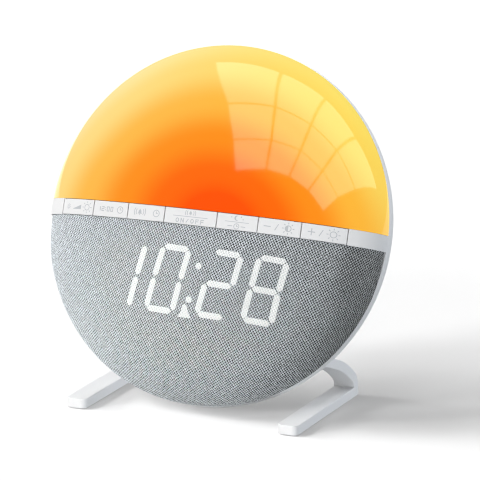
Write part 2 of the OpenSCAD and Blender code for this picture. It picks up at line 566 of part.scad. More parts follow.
light_diffuser();
front_frame();
grille_panel();
fabric_cover();
rear_shell();
key(0);  // dimmer_button
key(1);  // time_button
key(2);  // alarm_button
key(3);  // alarm_switch_button
key(4);  // sleep_button
key(5);  // minus_button
key(6);  // plus_button
plunger(0);  // dimmer_plunger
plunger(1);  // time_plunger
plunger(2);  // alarm_plunger
plunger(3);  // alarm_switch_plunger
plunger(4);  // sleep_plunger
plunger(5);  // minus_plunger
plunger(6);  // plus_plunger
button_board();
tact_switches();
display_board();
display_leds();
display_light_box();
display_film();
lamp_board();
lamp_leds();
lamp_reflector();
main_board();
main_chips();
power_jack();
coin_cell();
cell_contacts();
cell_door();
cell_door_screw();
speaker_basket();
speaker_cone();
speaker_surround();
speaker_magnet();
speaker_gasket();
speaker_screws();
lamp_lead();
display_lead();
key_lead();
speaker_lead();
cell_lead();
lead_connectors();
leg(-1);  // left_leg
leg(1);  // right_leg
leg_pads();
leg_screws();
housing_screws();
board_screws();
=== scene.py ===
"""Sunrise alarm clock: the finish of every surface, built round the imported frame."""

import math

import bmesh
import bpy
import numpy as np
from mathutils import Matrix, Vector


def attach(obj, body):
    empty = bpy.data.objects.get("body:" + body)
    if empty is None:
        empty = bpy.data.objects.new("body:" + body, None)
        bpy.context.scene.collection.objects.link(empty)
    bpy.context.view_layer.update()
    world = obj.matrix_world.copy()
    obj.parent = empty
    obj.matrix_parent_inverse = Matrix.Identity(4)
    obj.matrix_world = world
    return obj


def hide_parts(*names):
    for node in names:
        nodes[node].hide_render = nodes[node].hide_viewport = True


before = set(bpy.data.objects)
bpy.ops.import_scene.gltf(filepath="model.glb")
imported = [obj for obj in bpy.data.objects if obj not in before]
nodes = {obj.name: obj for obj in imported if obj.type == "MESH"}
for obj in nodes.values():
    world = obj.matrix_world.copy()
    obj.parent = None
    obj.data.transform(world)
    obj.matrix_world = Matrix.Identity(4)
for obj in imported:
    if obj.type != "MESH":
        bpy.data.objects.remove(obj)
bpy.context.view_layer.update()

# ---------------------------------------------------------------- dimensions
# Millimetres. Disc frame: x to the right, u up along the disc, n out of the
# front. Row frame: +Z up, front faces -Y.
LEAN = math.radians(20.1)
SIN, COS = math.sin(LEAN), math.cos(LEAN)
R, DOME = 80.0, 32.1
BAND, BACK_H, BACK_FLAT, WALL = 3.6, 25.0, 21.0, 2.2
FLAT_N = -BAND - BACK_FLAT
IN_FLAT_N = FLAT_N + WALL
RIM_Z = 78.8
RIM_Y = (41.8 - (BAND * COS + math.sqrt((R * SIN) ** 2 + (BACK_H * COS) ** 2))) / 2
DISC = Matrix(((1, 0, 0, 0), (0, SIN, -COS, RIM_Y), (0, COS, SIN, RIM_Z), (0, 0, 0, 1)))
MM = Matrix.Scale(0.001, 4)
EDGES = [-67.9, -49.4, -30.9, -12.4, 12.4, 30.9, 49.4, 67.9]
KEYS = ["dimmer", "time", "alarm", "alarm_switch", "sleep", "minus", "plus"]
LEG_X, LEG_W, LEG_T, LEG_U1 = 50.6, 9.8, 4.7, -51.0


def dome_n(a, b, x, u):
    return b * np.sqrt(np.maximum(0.0, 1.0 - (np.asarray(x) ** 2 + np.asarray(u) ** 2) / a**2))


# ---------------------------------------------------------------- camera
def set_camera():
    az, el = math.radians(23.872), math.radians(14.478)
    back = Vector((math.sin(az) * math.cos(el), -math.cos(az) * math.cos(el), math.sin(el)))
    right = Vector((math.cos(az), math.sin(az), 0))
    up = back.cross(right)
    rim = Vector((0, RIM_Y, RIM_Z))
    data = bpy.data.cameras.new("camera")
    data.sensor_width = 36
    data.lens = 4499.5 / 480 * 36
    data.clip_start, data.clip_end = 0.05, 60
    cam = bpy.data.objects.new("camera", data)
    bpy.context.scene.collection.objects.link(cam)
    cam.location = (rim + back * 1977.2 + right * 9.364 + up * -6.4) * 0.001
    cam.rotation_mode = "QUATERNION"
    cam.rotation_quaternion = (-back).to_track_quat("-Z", "Y")
    bpy.context.scene.camera = cam


set_camera()


# ---------------------------------------------------------------- mesh tools
def new_object(name, verts, faces):
    mesh = bpy.data.meshes.new(name)
    mesh.from_pydata([tuple(map(float, v)) for v in verts], [], [tuple(map(int, f)) for f in faces])
    mesh.validate()
    obj = bpy.data.objects.new(name, mesh)
    bpy.context.scene.collection.objects.link(obj)
    return obj


def outward(obj, doubles=1e-5):
    bm = bmesh.new()
    bm.from_mesh(obj.data)
    bmesh.ops.remove_doubles(bm, verts=bm.verts, dist=doubles)
    bmesh.ops.recalc_face_normals(bm, faces=bm.faces)
    bm.to_mesh(obj.data)
    bm.free()


def solid(name, *parts):
    """One object from closed parts, each (verts, faces), every part's faces turned outward."""
    verts, faces = [], []
    for v, f in parts:
        base = len(verts)
        verts.extend(v)
        faces.extend([[base + i for i in face] for face in f])
    obj = new_object(name, verts, faces)
    outward(obj)
    return obj


def block(x0, x1, u0, u1, n0, n1):
    v = [(x, u, n) for x in (x0, x1) for u in (u0, u1) for n in (n0, n1)]
    return v, [(0, 1, 3, 2), (4, 6, 7, 5), (0, 4, 5, 1), (2, 3, 7, 6), (0, 2, 6, 4), (1, 5, 7, 3)]


def extrude(points, n0, n1):
    m = len(points)
    v = [(p[0], p[1], n0) for p in points] + [(p[0], p[1], n1) for p in points]
    f = [list(range(m))[::-1], list(range(m, 2 * m))]
    f += [(i, (i + 1) % m, m + (i + 1) % m, m + i) for i in range(m)]
    return v, f


def circle(cx, cu, r, seg=48, a0=0.0):
    return [(cx + r * math.cos(a0 + 2 * math.pi * i / seg), cu + r * math.sin(a0 + 2 * math.pi * i / seg)) for i in range(seg)]


def cylinder(cx, cu, r, n0, n1, seg=48):
    return extrude(circle(cx, cu, r, seg), n0, n1)


def turned(cx, cu, profile, seg=48):
    """Solid of revolution from (radius, n) points; the first and last lie on the axis or the loop is closed."""
    v, f, rows = [], [], []
    for r, n in profile:
        if r < 1e-9:
            rows.append([len(v)] * seg)
            v.append((cx, cu, n))
        else:
            rows.append(list(range(len(v), len(v) + seg)))
            v.extend((cx + r * math.cos(2 * math.pi * i / seg), cu + r * math.sin(2 * math.pi * i / seg), n) for i in range(seg))
    pairs = list(zip(rows, rows[1:]))
    if profile[0][0] > 1e-9:
        pairs.append((rows[-1], rows[0]))
    for a, b in pairs:
        for i in range(seg):
            j = (i + 1) % seg
            face = [a[i], a[j], b[j], b[i]]
            face = [k for n_, k in enumerate(face) if k not in face[:n_]]
            if len(face) > 2:
                f.append(face)
    return v, f


def slot_outline(cx, u0, u1, half, seg=12):
    """Long hole with round ends, standing upright."""
    pts = [(cx + half * math.cos(math.pi * i / seg), u1 - half + half * math.sin(math.pi * i / seg)) for i in range(seg + 1)]
    pts += [(cx + half * math.cos(math.pi + math.pi * i / seg), u0 + half + half * math.sin(math.pi + math.pi * i / seg)) for i in range(seg + 1)]
    return pts


def round_rect(x0, x1, u0, u1, r, seg=6):
    pts = []
    for cx, cu, a in ((x1 - r, u1 - r, 0), (x0 + r, u1 - r, 90), (x0 + r, u0 + r, 180), (x1 - r, u0 + r, 270)):
        pts += [(cx + r * math.cos(math.radians(a + 90 * i / seg)), cu + r * math.sin(math.radians(a + 90 * i / seg))) for i in range(seg + 1)]
    return pts


def applied(obj):
    """Bakes the object's modifiers into a new mesh of its own."""
    graph = bpy.context.evaluated_depsgraph_get()
    mesh = bpy.data.meshes.new_from_object(obj.evaluated_get(graph), preserve_all_data_layers=True, depsgraph=graph)
    old = obj.data
    obj.modifiers.clear()
    obj.data = mesh
    bpy.data.meshes.remove(old)
    return obj


def boolean(obj, other, operation):
    mod = obj.modifiers.new("cut", "BOOLEAN")
    mod.operation, mod.solver, mod.object = operation, "MANIFOLD", other
    before = (len(obj.data.vertices), sum(v.co.length for v in obj.data.vertices))
    applied(obj)
    if before == (len(obj.data.vertices), sum(v.co.length for v in obj.data.vertices)):
        raise RuntimeError(f"{obj.name}: nothing changed")
    mesh = other.data
    bpy.data.objects.remove(other)
    bpy.data.meshes.remove(mesh)
    return obj


def bevel(obj, width, segments=3, angle=50):
    mod = obj.modifiers.new("edge", "BEVEL")
    mod.width, mod.segments, mod.limit_method, mod.angle_limit = width, segments, "ANGLE", math.radians(angle)
    mod.use_clamp_overlap = True
    mod.miter_outer = "MITER_ARC"
    return applied(obj)


def true_normals(obj, angle, domes, flats=()):
    """Corner normals: weighted by face, and those of the stated ellipsoids and flats where a face lies on one."""
    mesh = obj.data
    mesh.polygons.foreach_set("use_smooth", [True] * len(mesh.polygons))
    mesh.set_sharp_from_angle(angle=math.radians(angle))
    mod = obj.modifiers.new("weighted", "WEIGHTED_NORMAL")
    mod.keep_sharp, mod.weight = True, 50
    applied(obj)
    mesh = obj.data
    normal = np.empty(len(mesh.loops) * 3, np.float32)
    mesh.corner_normals.foreach_get("vector", normal)
    normal = normal.reshape(-1, 3)
    if domes:
        place = np.empty(len(mesh.vertices) * 3, np.float32)
        mesh.vertices.foreach_get("co", place)
        corner = np.empty(len(mesh.loops), np.int32)
        mesh.loops.foreach_get("vertex_index", corner)
        place = place.reshape(-1, 3)[corner]
        total = np.empty(len(mesh.polygons), np.int32)
        mesh.polygons.foreach_get("loop_total", total)
        facing = np.empty(len(mesh.polygons) * 3, np.float32)
        mesh.polygons.foreach_get("normal", facing)
        facing = np.repeat(facing.reshape(-1, 3), total, axis=0)
        for a, b, n0 in domes:
            p = place - np.array((0, 0, n0), np.float32)
            level = (p[:, 0] ** 2 + p[:, 1] ** 2) / a**2 + p[:, 2] ** 2 / b**2
            grad = p / np.array((a * a, a * a, b * b), np.float32)
            grad /= np.maximum(np.linalg.norm(grad, axis=1), 1e-12)[:, None]
            lean = (grad * facing).sum(1)
            on = (np.abs(level - 1) < 0.004) & (np.abs(lean) > math.cos(math.radians(13)))
            normal[on] = grad[on] * np.sign(lean[on])[:, None]
        for n0 in flats:
            on = (np.abs(place[:, 2] - n0) < 1e-3) & (np.abs(facing[:, 2]) > 0.999)
            normal[on] = facing[on]
    return normal


def piece(obj, body, stands_for=(), materials=(), place=DISC, angle=35, domes=(), plain=False, flats=()):
    if not plain:
        normal = true_normals(obj, angle, domes, flats)
        turn = np.array(place.to_3x3(), np.float32)
        normal = normal @ turn.T
    obj.data.transform(MM @ place)
    if not plain:
        obj.data.normals_split_custom_set(normal)
    if len(obj.data.materials) == 0:
        for m in materials:
            obj.data.materials.append(m)
    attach(obj, body)
    if stands_for:
        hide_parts(*stands_for)
    return obj


# ---------------------------------------------------------------- materials
def linear(rgb):
    """8-bit display colour to linear light."""
    return tuple((c / 255 / 12.92) if c / 255 <= 0.04045 else ((c / 255 + 0.055) / 1.055) ** 2.4 for c in rgb) + (1.0,)


class Nodes:
    """Short names for building a material's node tree."""

    def __init__(self, name):
        self.material = bpy.data.materials.new(name)
        self.material.use_nodes = True
        self.tree = self.material.node_tree
        self.tree.nodes.clear()
        self.out = self.tree.nodes.new("ShaderNodeOutputMaterial")
        self.bsdf = self.tree.nodes.new("ShaderNodeBsdfPrincipled")
        self.link(self.bsdf.outputs[0], self.out.inputs["Surface"])

    def node(self, kind, **settings):
        n = self.tree.nodes.new("ShaderNode" + kind)
        for k, v in settings.items():
            setattr(n, k, v)
        return n

    def link(self, a, b):
        self.tree.links.new(a, b)

    def put(self, value, socket):
        if isinstance(value, (int, float, tuple, list)):
            socket.default_value = value
        else:
            self.link(value, socket)

    def math(self, operation, *values, clamp=False):
        n = self.node("Math", operation=operation, use_clamp=clamp)
        for i, v in enumerate(values):
            self.put(v, n.inputs[i])
        return n.outputs[0]

    def vector(self, operation, *values):
        n = self.node("VectorMath", operation=operation)
        for i, v in enumerate(values):
            self.put(v, n.inputs[i])
        return n.outputs["Value" if operation in ("DOT_PRODUCT", "LENGTH", "DISTANCE") else "Vector"]

    def xyz(self, x, y, z):
        n = self.node("CombineXYZ")
        for i, v in enumerate((x, y, z)):
            self.put(v, n.inputs[i])
        return n.outputs[0]

    def split(self, vector):
        n = self.node("SeparateXYZ")
        self.put(vector, n.inputs[0])
        return n.outputs

    def noise(self, scale, detail=2.0, rough=0.5, vector=None, distortion=0.0):
        n = self.node("TexNoise")
        n.inputs["Scale"].default_value = scale
        n.inputs["Detail"].default_value = detail
        n.inputs["Roughness"].default_value = rough
        n.inputs["Distortion"].default_value = distortion
        self.link(vector if vector is not None else self.object(), n.inputs["Vector"])
        return n.outputs["Fac"]

    def object(self):
        return self.node("TexCoord").outputs["Object"]

    def ramp(self, value, stops, mode="LINEAR"):
        n = self.node("ValToRGB")
        n.color_ramp.interpolation = mode
        elements = n.color_ramp.elements
        while len(elements) < len(stops):
            elements.new(0.5)
        for e, (at, colour) in zip(elements, stops):
            e.position = at
            e.color = colour if len(colour) == 4 else (*colour, 1)
        self.put(value, n.inputs[0])
        return n.outputs[0]

    def span(self, value, low, high, to_low, to_high, smooth=False):
        n = self.node("MapRange")
        n.interpolation_type = "SMOOTHSTEP" if smooth else "LINEAR"
        for i, v in enumerate((value, low, high, to_low, to_high)):
            self.put(v, n.inputs[i])
        return n.outputs[0]

    def mix(self, factor, a, b, blend="MIX"):
        n = self.node("Mix", data_type="RGBA", blend_type=blend)
        self.put(factor, n.inputs[0])
        self.put(a, n.inputs[6])
        self.put(b, n.inputs[7])
        return n.outputs[2]

    def bump(self, height, strength, distance):
        n = self.node("Bump")
        n.inputs["Strength"].default_value = strength
        n.inputs["Distance"].default_value = distance
        self.link(height, n.inputs["Height"])
        self.link(n.outputs[0], self.bsdf.inputs["Normal"])

    def set(self, **sockets):
        for k, v in sockets.items():
            self.put(v, self.bsdf.inputs[k.replace("_", " ")])
        return self.material


def grey(v):
    return (v, v, v, 1)


def moulded(name, rgb, rough=0.42, grain=2600.0, depth=0.00001, strength=0.12, shade=0.03, specular=0.5):
    """Injection-moulded plastic: a fine spark-eroded grain, faint cloudiness and uneven gloss."""
    m = Nodes(name)
    cloud = m.noise(28.0, 2.0, 0.5)
    fine = m.noise(grain, 2.0, 0.6)
    base = linear(rgb)
    low = tuple(c * (1 - shade) for c in base[:3]) + (1,)
    m.put(m.mix(m.span(cloud, 0.3, 0.7, 0, 1), low, base), m.bsdf.inputs["Base Color"])
    m.put(m.math("ADD", m.span(fine, 0.3, 0.7, rough - 0.05, rough + 0.05), m.span(cloud, 0.3, 0.7, -0.03, 0.03)), m.bsdf.inputs["Roughness"])
    m.bump(fine, strength, depth)
    m.set(**{"Specular_IOR_Level": specular})
    return m.material


def brushed(name, rgb, rough=0.3, scale=900.0, lengthways=(1, 12, 1)):
    """Metal with fine drawn lines and a little tarnish."""
    m = Nodes(name)
    streak = m.noise(scale, 3.0, 0.6, m.vector("MULTIPLY", m.object(), tuple(float(c) for c in lengthways)))
    cloud = m.noise(180.0, 2.0, 0.5)
    base = linear(rgb)
    dark = tuple(c * 0.82 for c in base[:3]) + (1,)
    m.put(m.mix(m.span(cloud, 0.35, 0.7, 0, 1), dark, base), m.bsdf.inputs["Base Color"])
    m.put(m.span(streak, 0.3, 0.7, rough - 0.08, rough + 0.1), m.bsdf.inputs["Roughness"])
    m.bump(streak, 0.1, 0.00001)
    m.set(Metallic=1.0)
    return m.material


white_case = moulded("white_case", (236, 237, 239), rough=0.45)
white_key = moulded("white_key", (240, 240, 241), rough=0.4)
white_leg = moulded("white_leg", (219, 221, 225), rough=0.42)
legend_grey = moulded("legend_grey", (190, 193, 197), rough=0.5, grain=4000.0)
grey_plastic = moulded("grey_plastic", (52, 54, 56), rough=0.6)
black_plastic = moulded("black_plastic", (24, 24, 26), rough=0.45)
white_inner = moulded("white_inner", (238, 238, 234), rough=0.6)
connector_plastic = moulded("connector_plastic", (232, 228, 212), rough=0.4)
pad_rubber = moulded("pad_rubber", (176, 178, 180), rough=0.85, grain=1800.0, depth=0.00003, strength=0.3, specular=0.3)
screw_steel = brushed("screw_steel", (178, 180, 184), rough=0.32)
switch_steel = brushed("switch_steel", (182, 183, 186), rough=0.38)
cell_steel = brushed("cell_steel", (196, 198, 200), rough=0.24, lengthways=(1, 1, 1))
spring_brass = brushed("spring_brass", (206, 178, 104), rough=0.3)
basket_steel = brushed("basket_steel", (92, 94, 97), rough=0.5)


def board(name, rgb, track):
    """Solder resist over copper: faint tracks on a grid, some running across and some up."""
    m = Nodes(name)
    place = m.vector("SCALE", m.object())
    place.node.inputs["Scale"].default_value = 1.0
    cell = m.node("TexVoronoi", feature="DISTANCE_TO_EDGE", voronoi_dimensions="3D")
    cell.inputs["Scale"].default_value = 260.0
    cell.inputs["Randomness"].default_value = 0.35
    m.link(place, cell.inputs["Vector"])
    lines = m.span(cell.outputs["Distance"], 0.04, 0.07, 1, 0)
    m.put(m.mix(lines, linear(rgb), linear(track)), m.bsdf.inputs["Base Color"])
    m.put(m.span(m.noise(700.0), 0.3, 0.7, 0.25, 0.4), m.bsdf.inputs["Roughness"])
    m.bump(lines, 0.3, 0.00003)
    return m.material


board_green = board("board_green", (16, 84, 48), (34, 116, 68))
board_white = board("board_white", (226, 226, 220), (206, 206, 198))


def lead_coat(name, rgb):
    m = Nodes(name)
    m.put(m.mix(m.span(m.noise(240.0), 0.35, 0.65, 0, 1), linear(rgb), tuple(c * 0.8 for c in linear(rgb)[:3]) + (1,)), m.bsdf.inputs["Base Color"])
    m.put(m.span(m.noise(1200.0), 0.3, 0.7, 0.3, 0.42), m.bsdf.inputs["Roughness"])
    return m.material


lead_red = lead_coat("lead_red", (176, 34, 28))
lead_white = lead_coat("lead_white", (216, 214, 204))
lead_blue = lead_coat("lead_blue", (36, 62, 158))
lead_black = lead_coat("lead_black", (26, 26, 28))


def glowing(name, rgb, strength):
    m = Nodes(name)
    place = m.span(m.noise(900.0), 0.3, 0.7, 0.85, 1.0)
    colour = m.mix(place, tuple(c * 0.7 for c in linear(rgb)[:3]) + (1,), linear(rgb))
    m.put(colour, m.bsdf.inputs["Base Color"])
    m.put(colour, m.bsdf.inputs["Emission Color"])
    m.set(Emission_Strength=strength, Roughness=0.35)
    return m.material


led_glow = glowing("led_phosphor", (255, 214, 120), 0.6)


def paper():
    m = Nodes("cone_paper")
    fibre = m.noise(1500.0, 4.0, 0.7, distortion=1.5)
    m.put(m.mix(m.span(fibre, 0.3, 0.7, 0, 1), linear((28, 28, 30)), linear((48, 47, 48))), m.bsdf.inputs["Base Color"])
    m.bump(fibre, 0.5, 0.00005)
    m.set(Roughness=0.8)
    return m.material


def foam():
    m = Nodes("foam")
    cell = m.node("TexVoronoi", feature="F1", voronoi_dimensions="3D")
    cell.inputs["Scale"].default_value = 1800.0
    m.link(m.object(), cell.inputs["Vector"])
    m.put(m.mix(m.span(cell.outputs["Distance"], 0.1, 0.6, 0, 1), linear((36, 36, 37)), linear((16, 16, 17))), m.bsdf.inputs["Base Color"])
    m.bump(cell.outputs["Distance"], 0.6, 0.0001)
    m.set(Roughness=0.95)
    return m.material


def rolled_rubber():
    m = Nodes("surround_rubber")
    m.put(m.span(m.noise(900.0), 0.3, 0.7, 0.5, 0.65), m.bsdf.inputs["Roughness"])
    m.put(m.mix(m.span(m.noise(160.0), 0.3, 0.7, 0, 1), linear((18, 18, 19)), linear((30, 30, 31))), m.bsdf.inputs["Base Color"])
    return m.material


def ferrite_stone():
    m = Nodes("ferrite")
    grit = m.noise(2200.0, 3.0, 0.7)
    m.put(m.mix(m.span(grit, 0.3, 0.7, 0, 1), linear((58, 58, 60)), linear((86, 86, 88))), m.bsdf.inputs["Base Color"])
    m.put(m.span(grit, 0.3, 0.7, 0.45, 0.7), m.bsdf.inputs["Roughness"])
    m.bump(grit, 0.4, 0.00004)
    return m.material


def film():
    m = Nodes("diffusing_film")
    frost = m.noise(3000.0, 2.0, 0.5)
    m.put(m.mix(m.span(frost, 0.3, 0.7, 0, 1), linear((226, 227, 232)), linear((238, 238, 242))), m.bsdf.inputs["Base Color"])
    m.put(m.span(frost, 0.3, 0.7, 0.3, 0.45), m.bsdf.inputs["Roughness"])
    return m.material


cone_paper, foam_black, surround_rubber, ferrite, display_film = paper(), foam(), rolled_rubber(), ferrite_stone(), film()


# The lamp's glow, from deep orange near the middle of the strip to warm
# yellow at the rim, as a function of place on the disc.
GLOW = [
    (0.00, (254, 84, 10)),
    (0.24, (254, 106, 15)),
    (0.44, (254, 143, 28)),
    (0.63, (254, 184, 62)),
    (0.81, (254, 216, 104)),
    (0.95, (254, 230, 128)),
]


def lamp_material(name, share, strength):
    """Tinted light-diffusing plastic, lit from behind: share is what is left of the body colour under the glow."""
    m = Nodes(name)
    place = m.split(m.object())
    up_y = m.math("MULTIPLY", m.math("SUBTRACT", place[1], RIM_Y / 1000), SIN)
    up_z = m.math("MULTIPLY", m.math("SUBTRACT", place[2], RIM_Z / 1000), COS)
    # how far from the lamp's hot spot, on a rim of 1: a little right of the middle, flatter towards the left
    u = m.math("DIVIDE", m.math("ADD", up_y, up_z), 0.080)
    x = m.math("DIVIDE", place[0], 0.080)
    xx, uu = m.math("MULTIPLY", x, x), m.math("MULTIPLY", u, u)
    terms = (
        (-0.21, x), (0.63, xx), (0.086, m.math("MULTIPLY", xx, x)), (0.01, u), (1.15, uu),
        (0.105, m.math("MULTIPLY", x, u)), (0.285, m.math("MULTIPLY", xx, u)), (-0.30, m.math("MULTIPLY", uu, u)),
    )
    far = -0.01
    for weight, term in terms:
        far = m.math("MULTIPLY_ADD", term, weight, far)
    cloud = m.span(m.noise(22.0, 1.0, 0.5), 0.3, 0.7, -0.006, 0.006)
    far = m.math("ADD", m.math("SQRT", m.math("MAXIMUM", far, 0.0)), cloud)
    lamp = m.ramp(far, [(at, linear(c)) for at, c in GLOW], "EASE")
    # painted reflection: the glow is painted paler towards the left, for the whitish reflection of the light from the
    # left
    pale = m.math("MULTIPLY_ADD", x, -0.32, m.math("MULTIPLY_ADD", u, -0.13, 1.30))
    pale = m.math("MULTIPLY_ADD", m.math("MULTIPLY", x, u), -0.50, pale)
    lamp = m.mix(1.0, lamp, m.xyz(1.0, 1.0, pale), "MULTIPLY")
    body = m.mix(1 - share, lamp, (0.0, 0.0, 0.0, 1))
    m.put(body, m.bsdf.inputs["Base Color"])
    m.put(lamp, m.bsdf.inputs["Emission Color"])
    m.set(Emission_Strength=strength, Specular_IOR_Level=0.5)
    m.put(m.span(m.noise(60.0, 2.0), 0.3, 0.7, 0.05, 0.07), m.bsdf.inputs["Roughness"])
    return m.material


diffuser = lamp_material("diffuser", 0.18, 0.85)
diffuser_inside = lamp_material("diffuser_inside", 0.5, 0.12)


def cloth_material():
    """Two sets of threads in a plain weave, light and slightly mottled, over dark gaps, with the display's light in the lit places."""
    m = Nodes("speaker_cloth")
    uv = m.node("UVMap", uv_map="weave").outputs[0]
    a, b, _ = m.split(uv)
    # no thread lies quite straight
    a = m.math("ADD", a, m.span(m.noise(0.55, 1.0, 0.5, uv), 0.3, 0.7, -0.13, 0.13))
    b = m.math("ADD", b, m.span(m.noise(0.55, 1.0, 0.5, m.vector("ADD", uv, (91.3, 17.7, 5.1))), 0.3, 0.7, -0.13, 0.13))
    ia, ib = m.math("FLOOR", a), m.math("FLOOR", b)
    fa = m.math("SUBTRACT", m.math("SUBTRACT", a, ia), 0.5)
    fb = m.math("SUBTRACT", m.math("SUBTRACT", b, ib), 0.5)
    side = m.math("SUBTRACT", 1.0, m.math("MULTIPLY", 2.0, m.math("PINGPONG", m.math("ADD", ia, ib), 1.0)))

    def profile(f):
        w = m.math("DIVIDE", f, 0.33)
        return m.math("SQRT", m.math("MAXIMUM", m.math("SUBTRACT", 1.0, m.math("MULTIPLY", w, w)), 0.0))

    wave_1 = m.math("MULTIPLY", side, m.math("COSINE", m.math("MULTIPLY", fb, math.pi)))
    wave_2 = m.math("MULTIPLY", m.math("MULTIPLY", side, -1.0), m.math("COSINE", m.math("MULTIPLY", fa, math.pi)))
    h1 = m.math("ADD", m.math("MULTIPLY", wave_1, 0.32), profile(fa))
    h2 = m.math("ADD", m.math("MULTIPLY", wave_2, 0.32), profile(fb))
    height = m.math("MAXIMUM", h1, h2)
    first = m.math("GREATER_THAN", h1, h2)
    # Fibre colour: each thread is mottled along its length and twisted across it.
    along_1 = m.noise(1.0, 3.0, 0.6, m.xyz(m.math("MULTIPLY", ia, 7.31), m.math("MULTIPLY", b, 0.55), m.math("MULTIPLY", fa, 1.2)))
    along_2 = m.noise(1.0, 3.0, 0.6, m.xyz(m.math("ADD", m.math("MULTIPLY", ib, 5.17), 40.0), m.math("MULTIPLY", a, 0.55), m.math("MULTIPLY", fb, 1.2)))
    twist_1 = m.noise(1.0, 2.0, 0.5, m.xyz(m.math("ADD", m.math("MULTIPLY", fa, 5.0), m.math("MULTIPLY", b, 3.0)), m.math("MULTIPLY", b, 1.5), ia))
    twist_2 = m.noise(1.0, 2.0, 0.5, m.xyz(m.math("ADD", m.math("MULTIPLY", fb, 5.0), m.math("MULTIPLY", a, 3.0)), m.math("MULTIPLY", a, 1.5), ib))
    tone_1 = m.math("ADD", m.math("MULTIPLY", along_1, 0.75), m.math("MULTIPLY", twist_1, 0.25))
    tone_2 = m.math("ADD", m.math("MULTIPLY", along_2, 0.75), m.math("MULTIPLY", twist_2, 0.25))
    pick = m.node("Mix", data_type="FLOAT")
    m.put(first, pick.inputs[0])
    m.put(tone_2, pick.inputs[2])
    m.put(tone_1, pick.inputs[3])
    tone = pick.outputs[0]
    light, dark = linear((238, 244, 249)), linear((210, 216, 221))
    yarn = m.mix(m.span(tone, 0.36, 0.62, 0, 1, smooth=True), dark, light)
    # painted light and shade: the gaps are painted lighter towards the left, where the light falls, and dark towards
    # the right
    painted_gap_shade = m.span(m.split(m.object())[0], -0.072, 0.020, 0.0, 1.0, smooth=True)
    gap = m.mix(painted_gap_shade, linear((96, 100, 103)), linear((16, 19, 22)))
    # painted shade: near the rim, low on the right, the gaps are painted wider, which darkens the cloth there
    right, deep, high = m.split(m.object())
    up = m.math("ADD", m.math("MULTIPLY", m.math("SUBTRACT", deep, RIM_Y / 1000), SIN), m.math("MULTIPLY", m.math("SUBTRACT", high, RIM_Z / 1000), COS))
    out = m.math("SQRT", m.math("ADD", m.math("MULTIPLY", right, right), m.math("MULTIPLY", up, up)))
    rim = m.math("MULTIPLY", m.span(out, 0.069, 0.078, 0, 0.10, smooth=True), m.span(high, 0.075, 0.045, 0, 1, smooth=True))
    rim = m.math("MULTIPLY", rim, m.span(right, 0.018, 0.040, 0, 1, smooth=True))
    turn = m.math("MULTIPLY", m.span(out, 0.064, 0.071, 0, 0.13, smooth=True), m.span(out, 0.082, 0.072, 0, 1, smooth=True))
    turn = m.math("MULTIPLY", turn, m.math("MULTIPLY", m.span(high, 0.047, 0.068, 0, 1, smooth=True), m.span(right, 0.040, 0.056, 0, 1, smooth=True)))
    painted_rim_shade = m.math("ADD", rim, turn)
    cover = m.span(m.math("SUBTRACT", height, painted_rim_shade), 0.42, 1.25, 0, 1, smooth=True)
    weave = m.mix(cover, gap, yarn)
    # The display behind it: crisp segments, only faintly broken by the weave.
    lit_a = m.node("Attribute", attribute_name="lit_a").outputs["Fac"]
    lit_b = m.node("Attribute", attribute_name="lit_b").outputs["Fac"]
    lit = m.span(m.math("MINIMUM", lit_a, lit_b), -0.12, 0.12, 1, 0, smooth=True)
    speck = m.span(height, 0.3, 1.2, 0.0, 1.0)
    m.put(m.mix(m.math("MULTIPLY", lit, 0.8), weave, linear((214, 216, 216))), m.bsdf.inputs["Base Color"])
    m.put(m.mix(speck, linear((176, 180, 182)), linear((250, 251, 250))), m.bsdf.inputs["Emission Color"])
    m.put(m.math("MULTIPLY", lit, 0.46), m.bsdf.inputs["Emission Strength"])
    m.bump(m.math("ADD", height, m.math("MULTIPLY", tone, 0.2)), 1.0, 0.0003)
    m.set(Roughness=0.92, Sheen_Weight=0.2, Sheen_Roughness=0.45, Specular_IOR_Level=0.2)
    return m.material


cloth = cloth_material()


# ---------------------------------------------------------------- lamp diffuser
def half_dome(a, b, u0, na, nb):
    """Grid over the part of a half-ellipsoid above u0, its two ends drawn to points on the rim."""
    low = u0 / a
    end = math.acos(low)
    rows = []
    for i in range(na + 1):
        s = -1 + 2 * i / na
        t = end * math.sin(s * math.pi / 2) * 0.35 + end * s * 0.65
        c = math.cos(t)
        b0 = math.asin(min(1.0, low / max(c, low)))
        row = []
        for j in range(nb + 1):
            angle = b0 + (math.pi / 2 - b0) * j / nb
            row.append((a * math.sin(t), a * c * math.sin(angle), b * c * math.cos(angle)))
        rows.append(row)
    return rows


def make_diffuser():
    na, nb, u0 = 200, 90, 3.37
    outer, inner = half_dome(R, DOME, u0, na, nb), half_dome(R - 2.2, DOME - 2.2, u0, na, nb)
    verts = [p for row in outer for p in row] + [p for row in inner for p in row]
    width, shift = nb + 1, (na + 1) * (nb + 1)
    faces = []
    for i in range(na):
        for j in range(nb):
            q = [i * width + j, (i + 1) * width + j, (i + 1) * width + j + 1, i * width + j + 1]
            faces.append(q)
            faces.append([k + shift for k in q[::-1]])
        for j in (0, nb):
            faces.append([i * width + j, (i + 1) * width + j, (i + 1) * width + j + shift, i * width + j + shift])
    obj = new_object("light_diffuser_dome", verts, faces)
    outward(obj, 1e-4)
    obj.data.materials.append(diffuser)
    obj.data.materials.append(diffuser_inside)
    for face in obj.data.polygons:
        spots = [obj.data.vertices[k].co for k in face.vertices]
        skin = all(abs((c.x**2 + c.y**2) / R**2 + c.z**2 / DOME**2 - 1) < 1e-4 for c in spots)
        face.material_index = 0 if skin else 1
    return piece(obj, "housing", ["light_diffuser"], domes=[(R, DOME, 0), (R - 2.2, DOME - 2.2, 0)])


make_diffuser()


# ---------------------------------------------------------------- cloth
CLOTH_A, CLOTH_B, CLOTH_TOP = 79.4, 32.0, -3.78
THREAD_1, THREAD_2 = (0.62, -0.78), (0.82, 0.46)


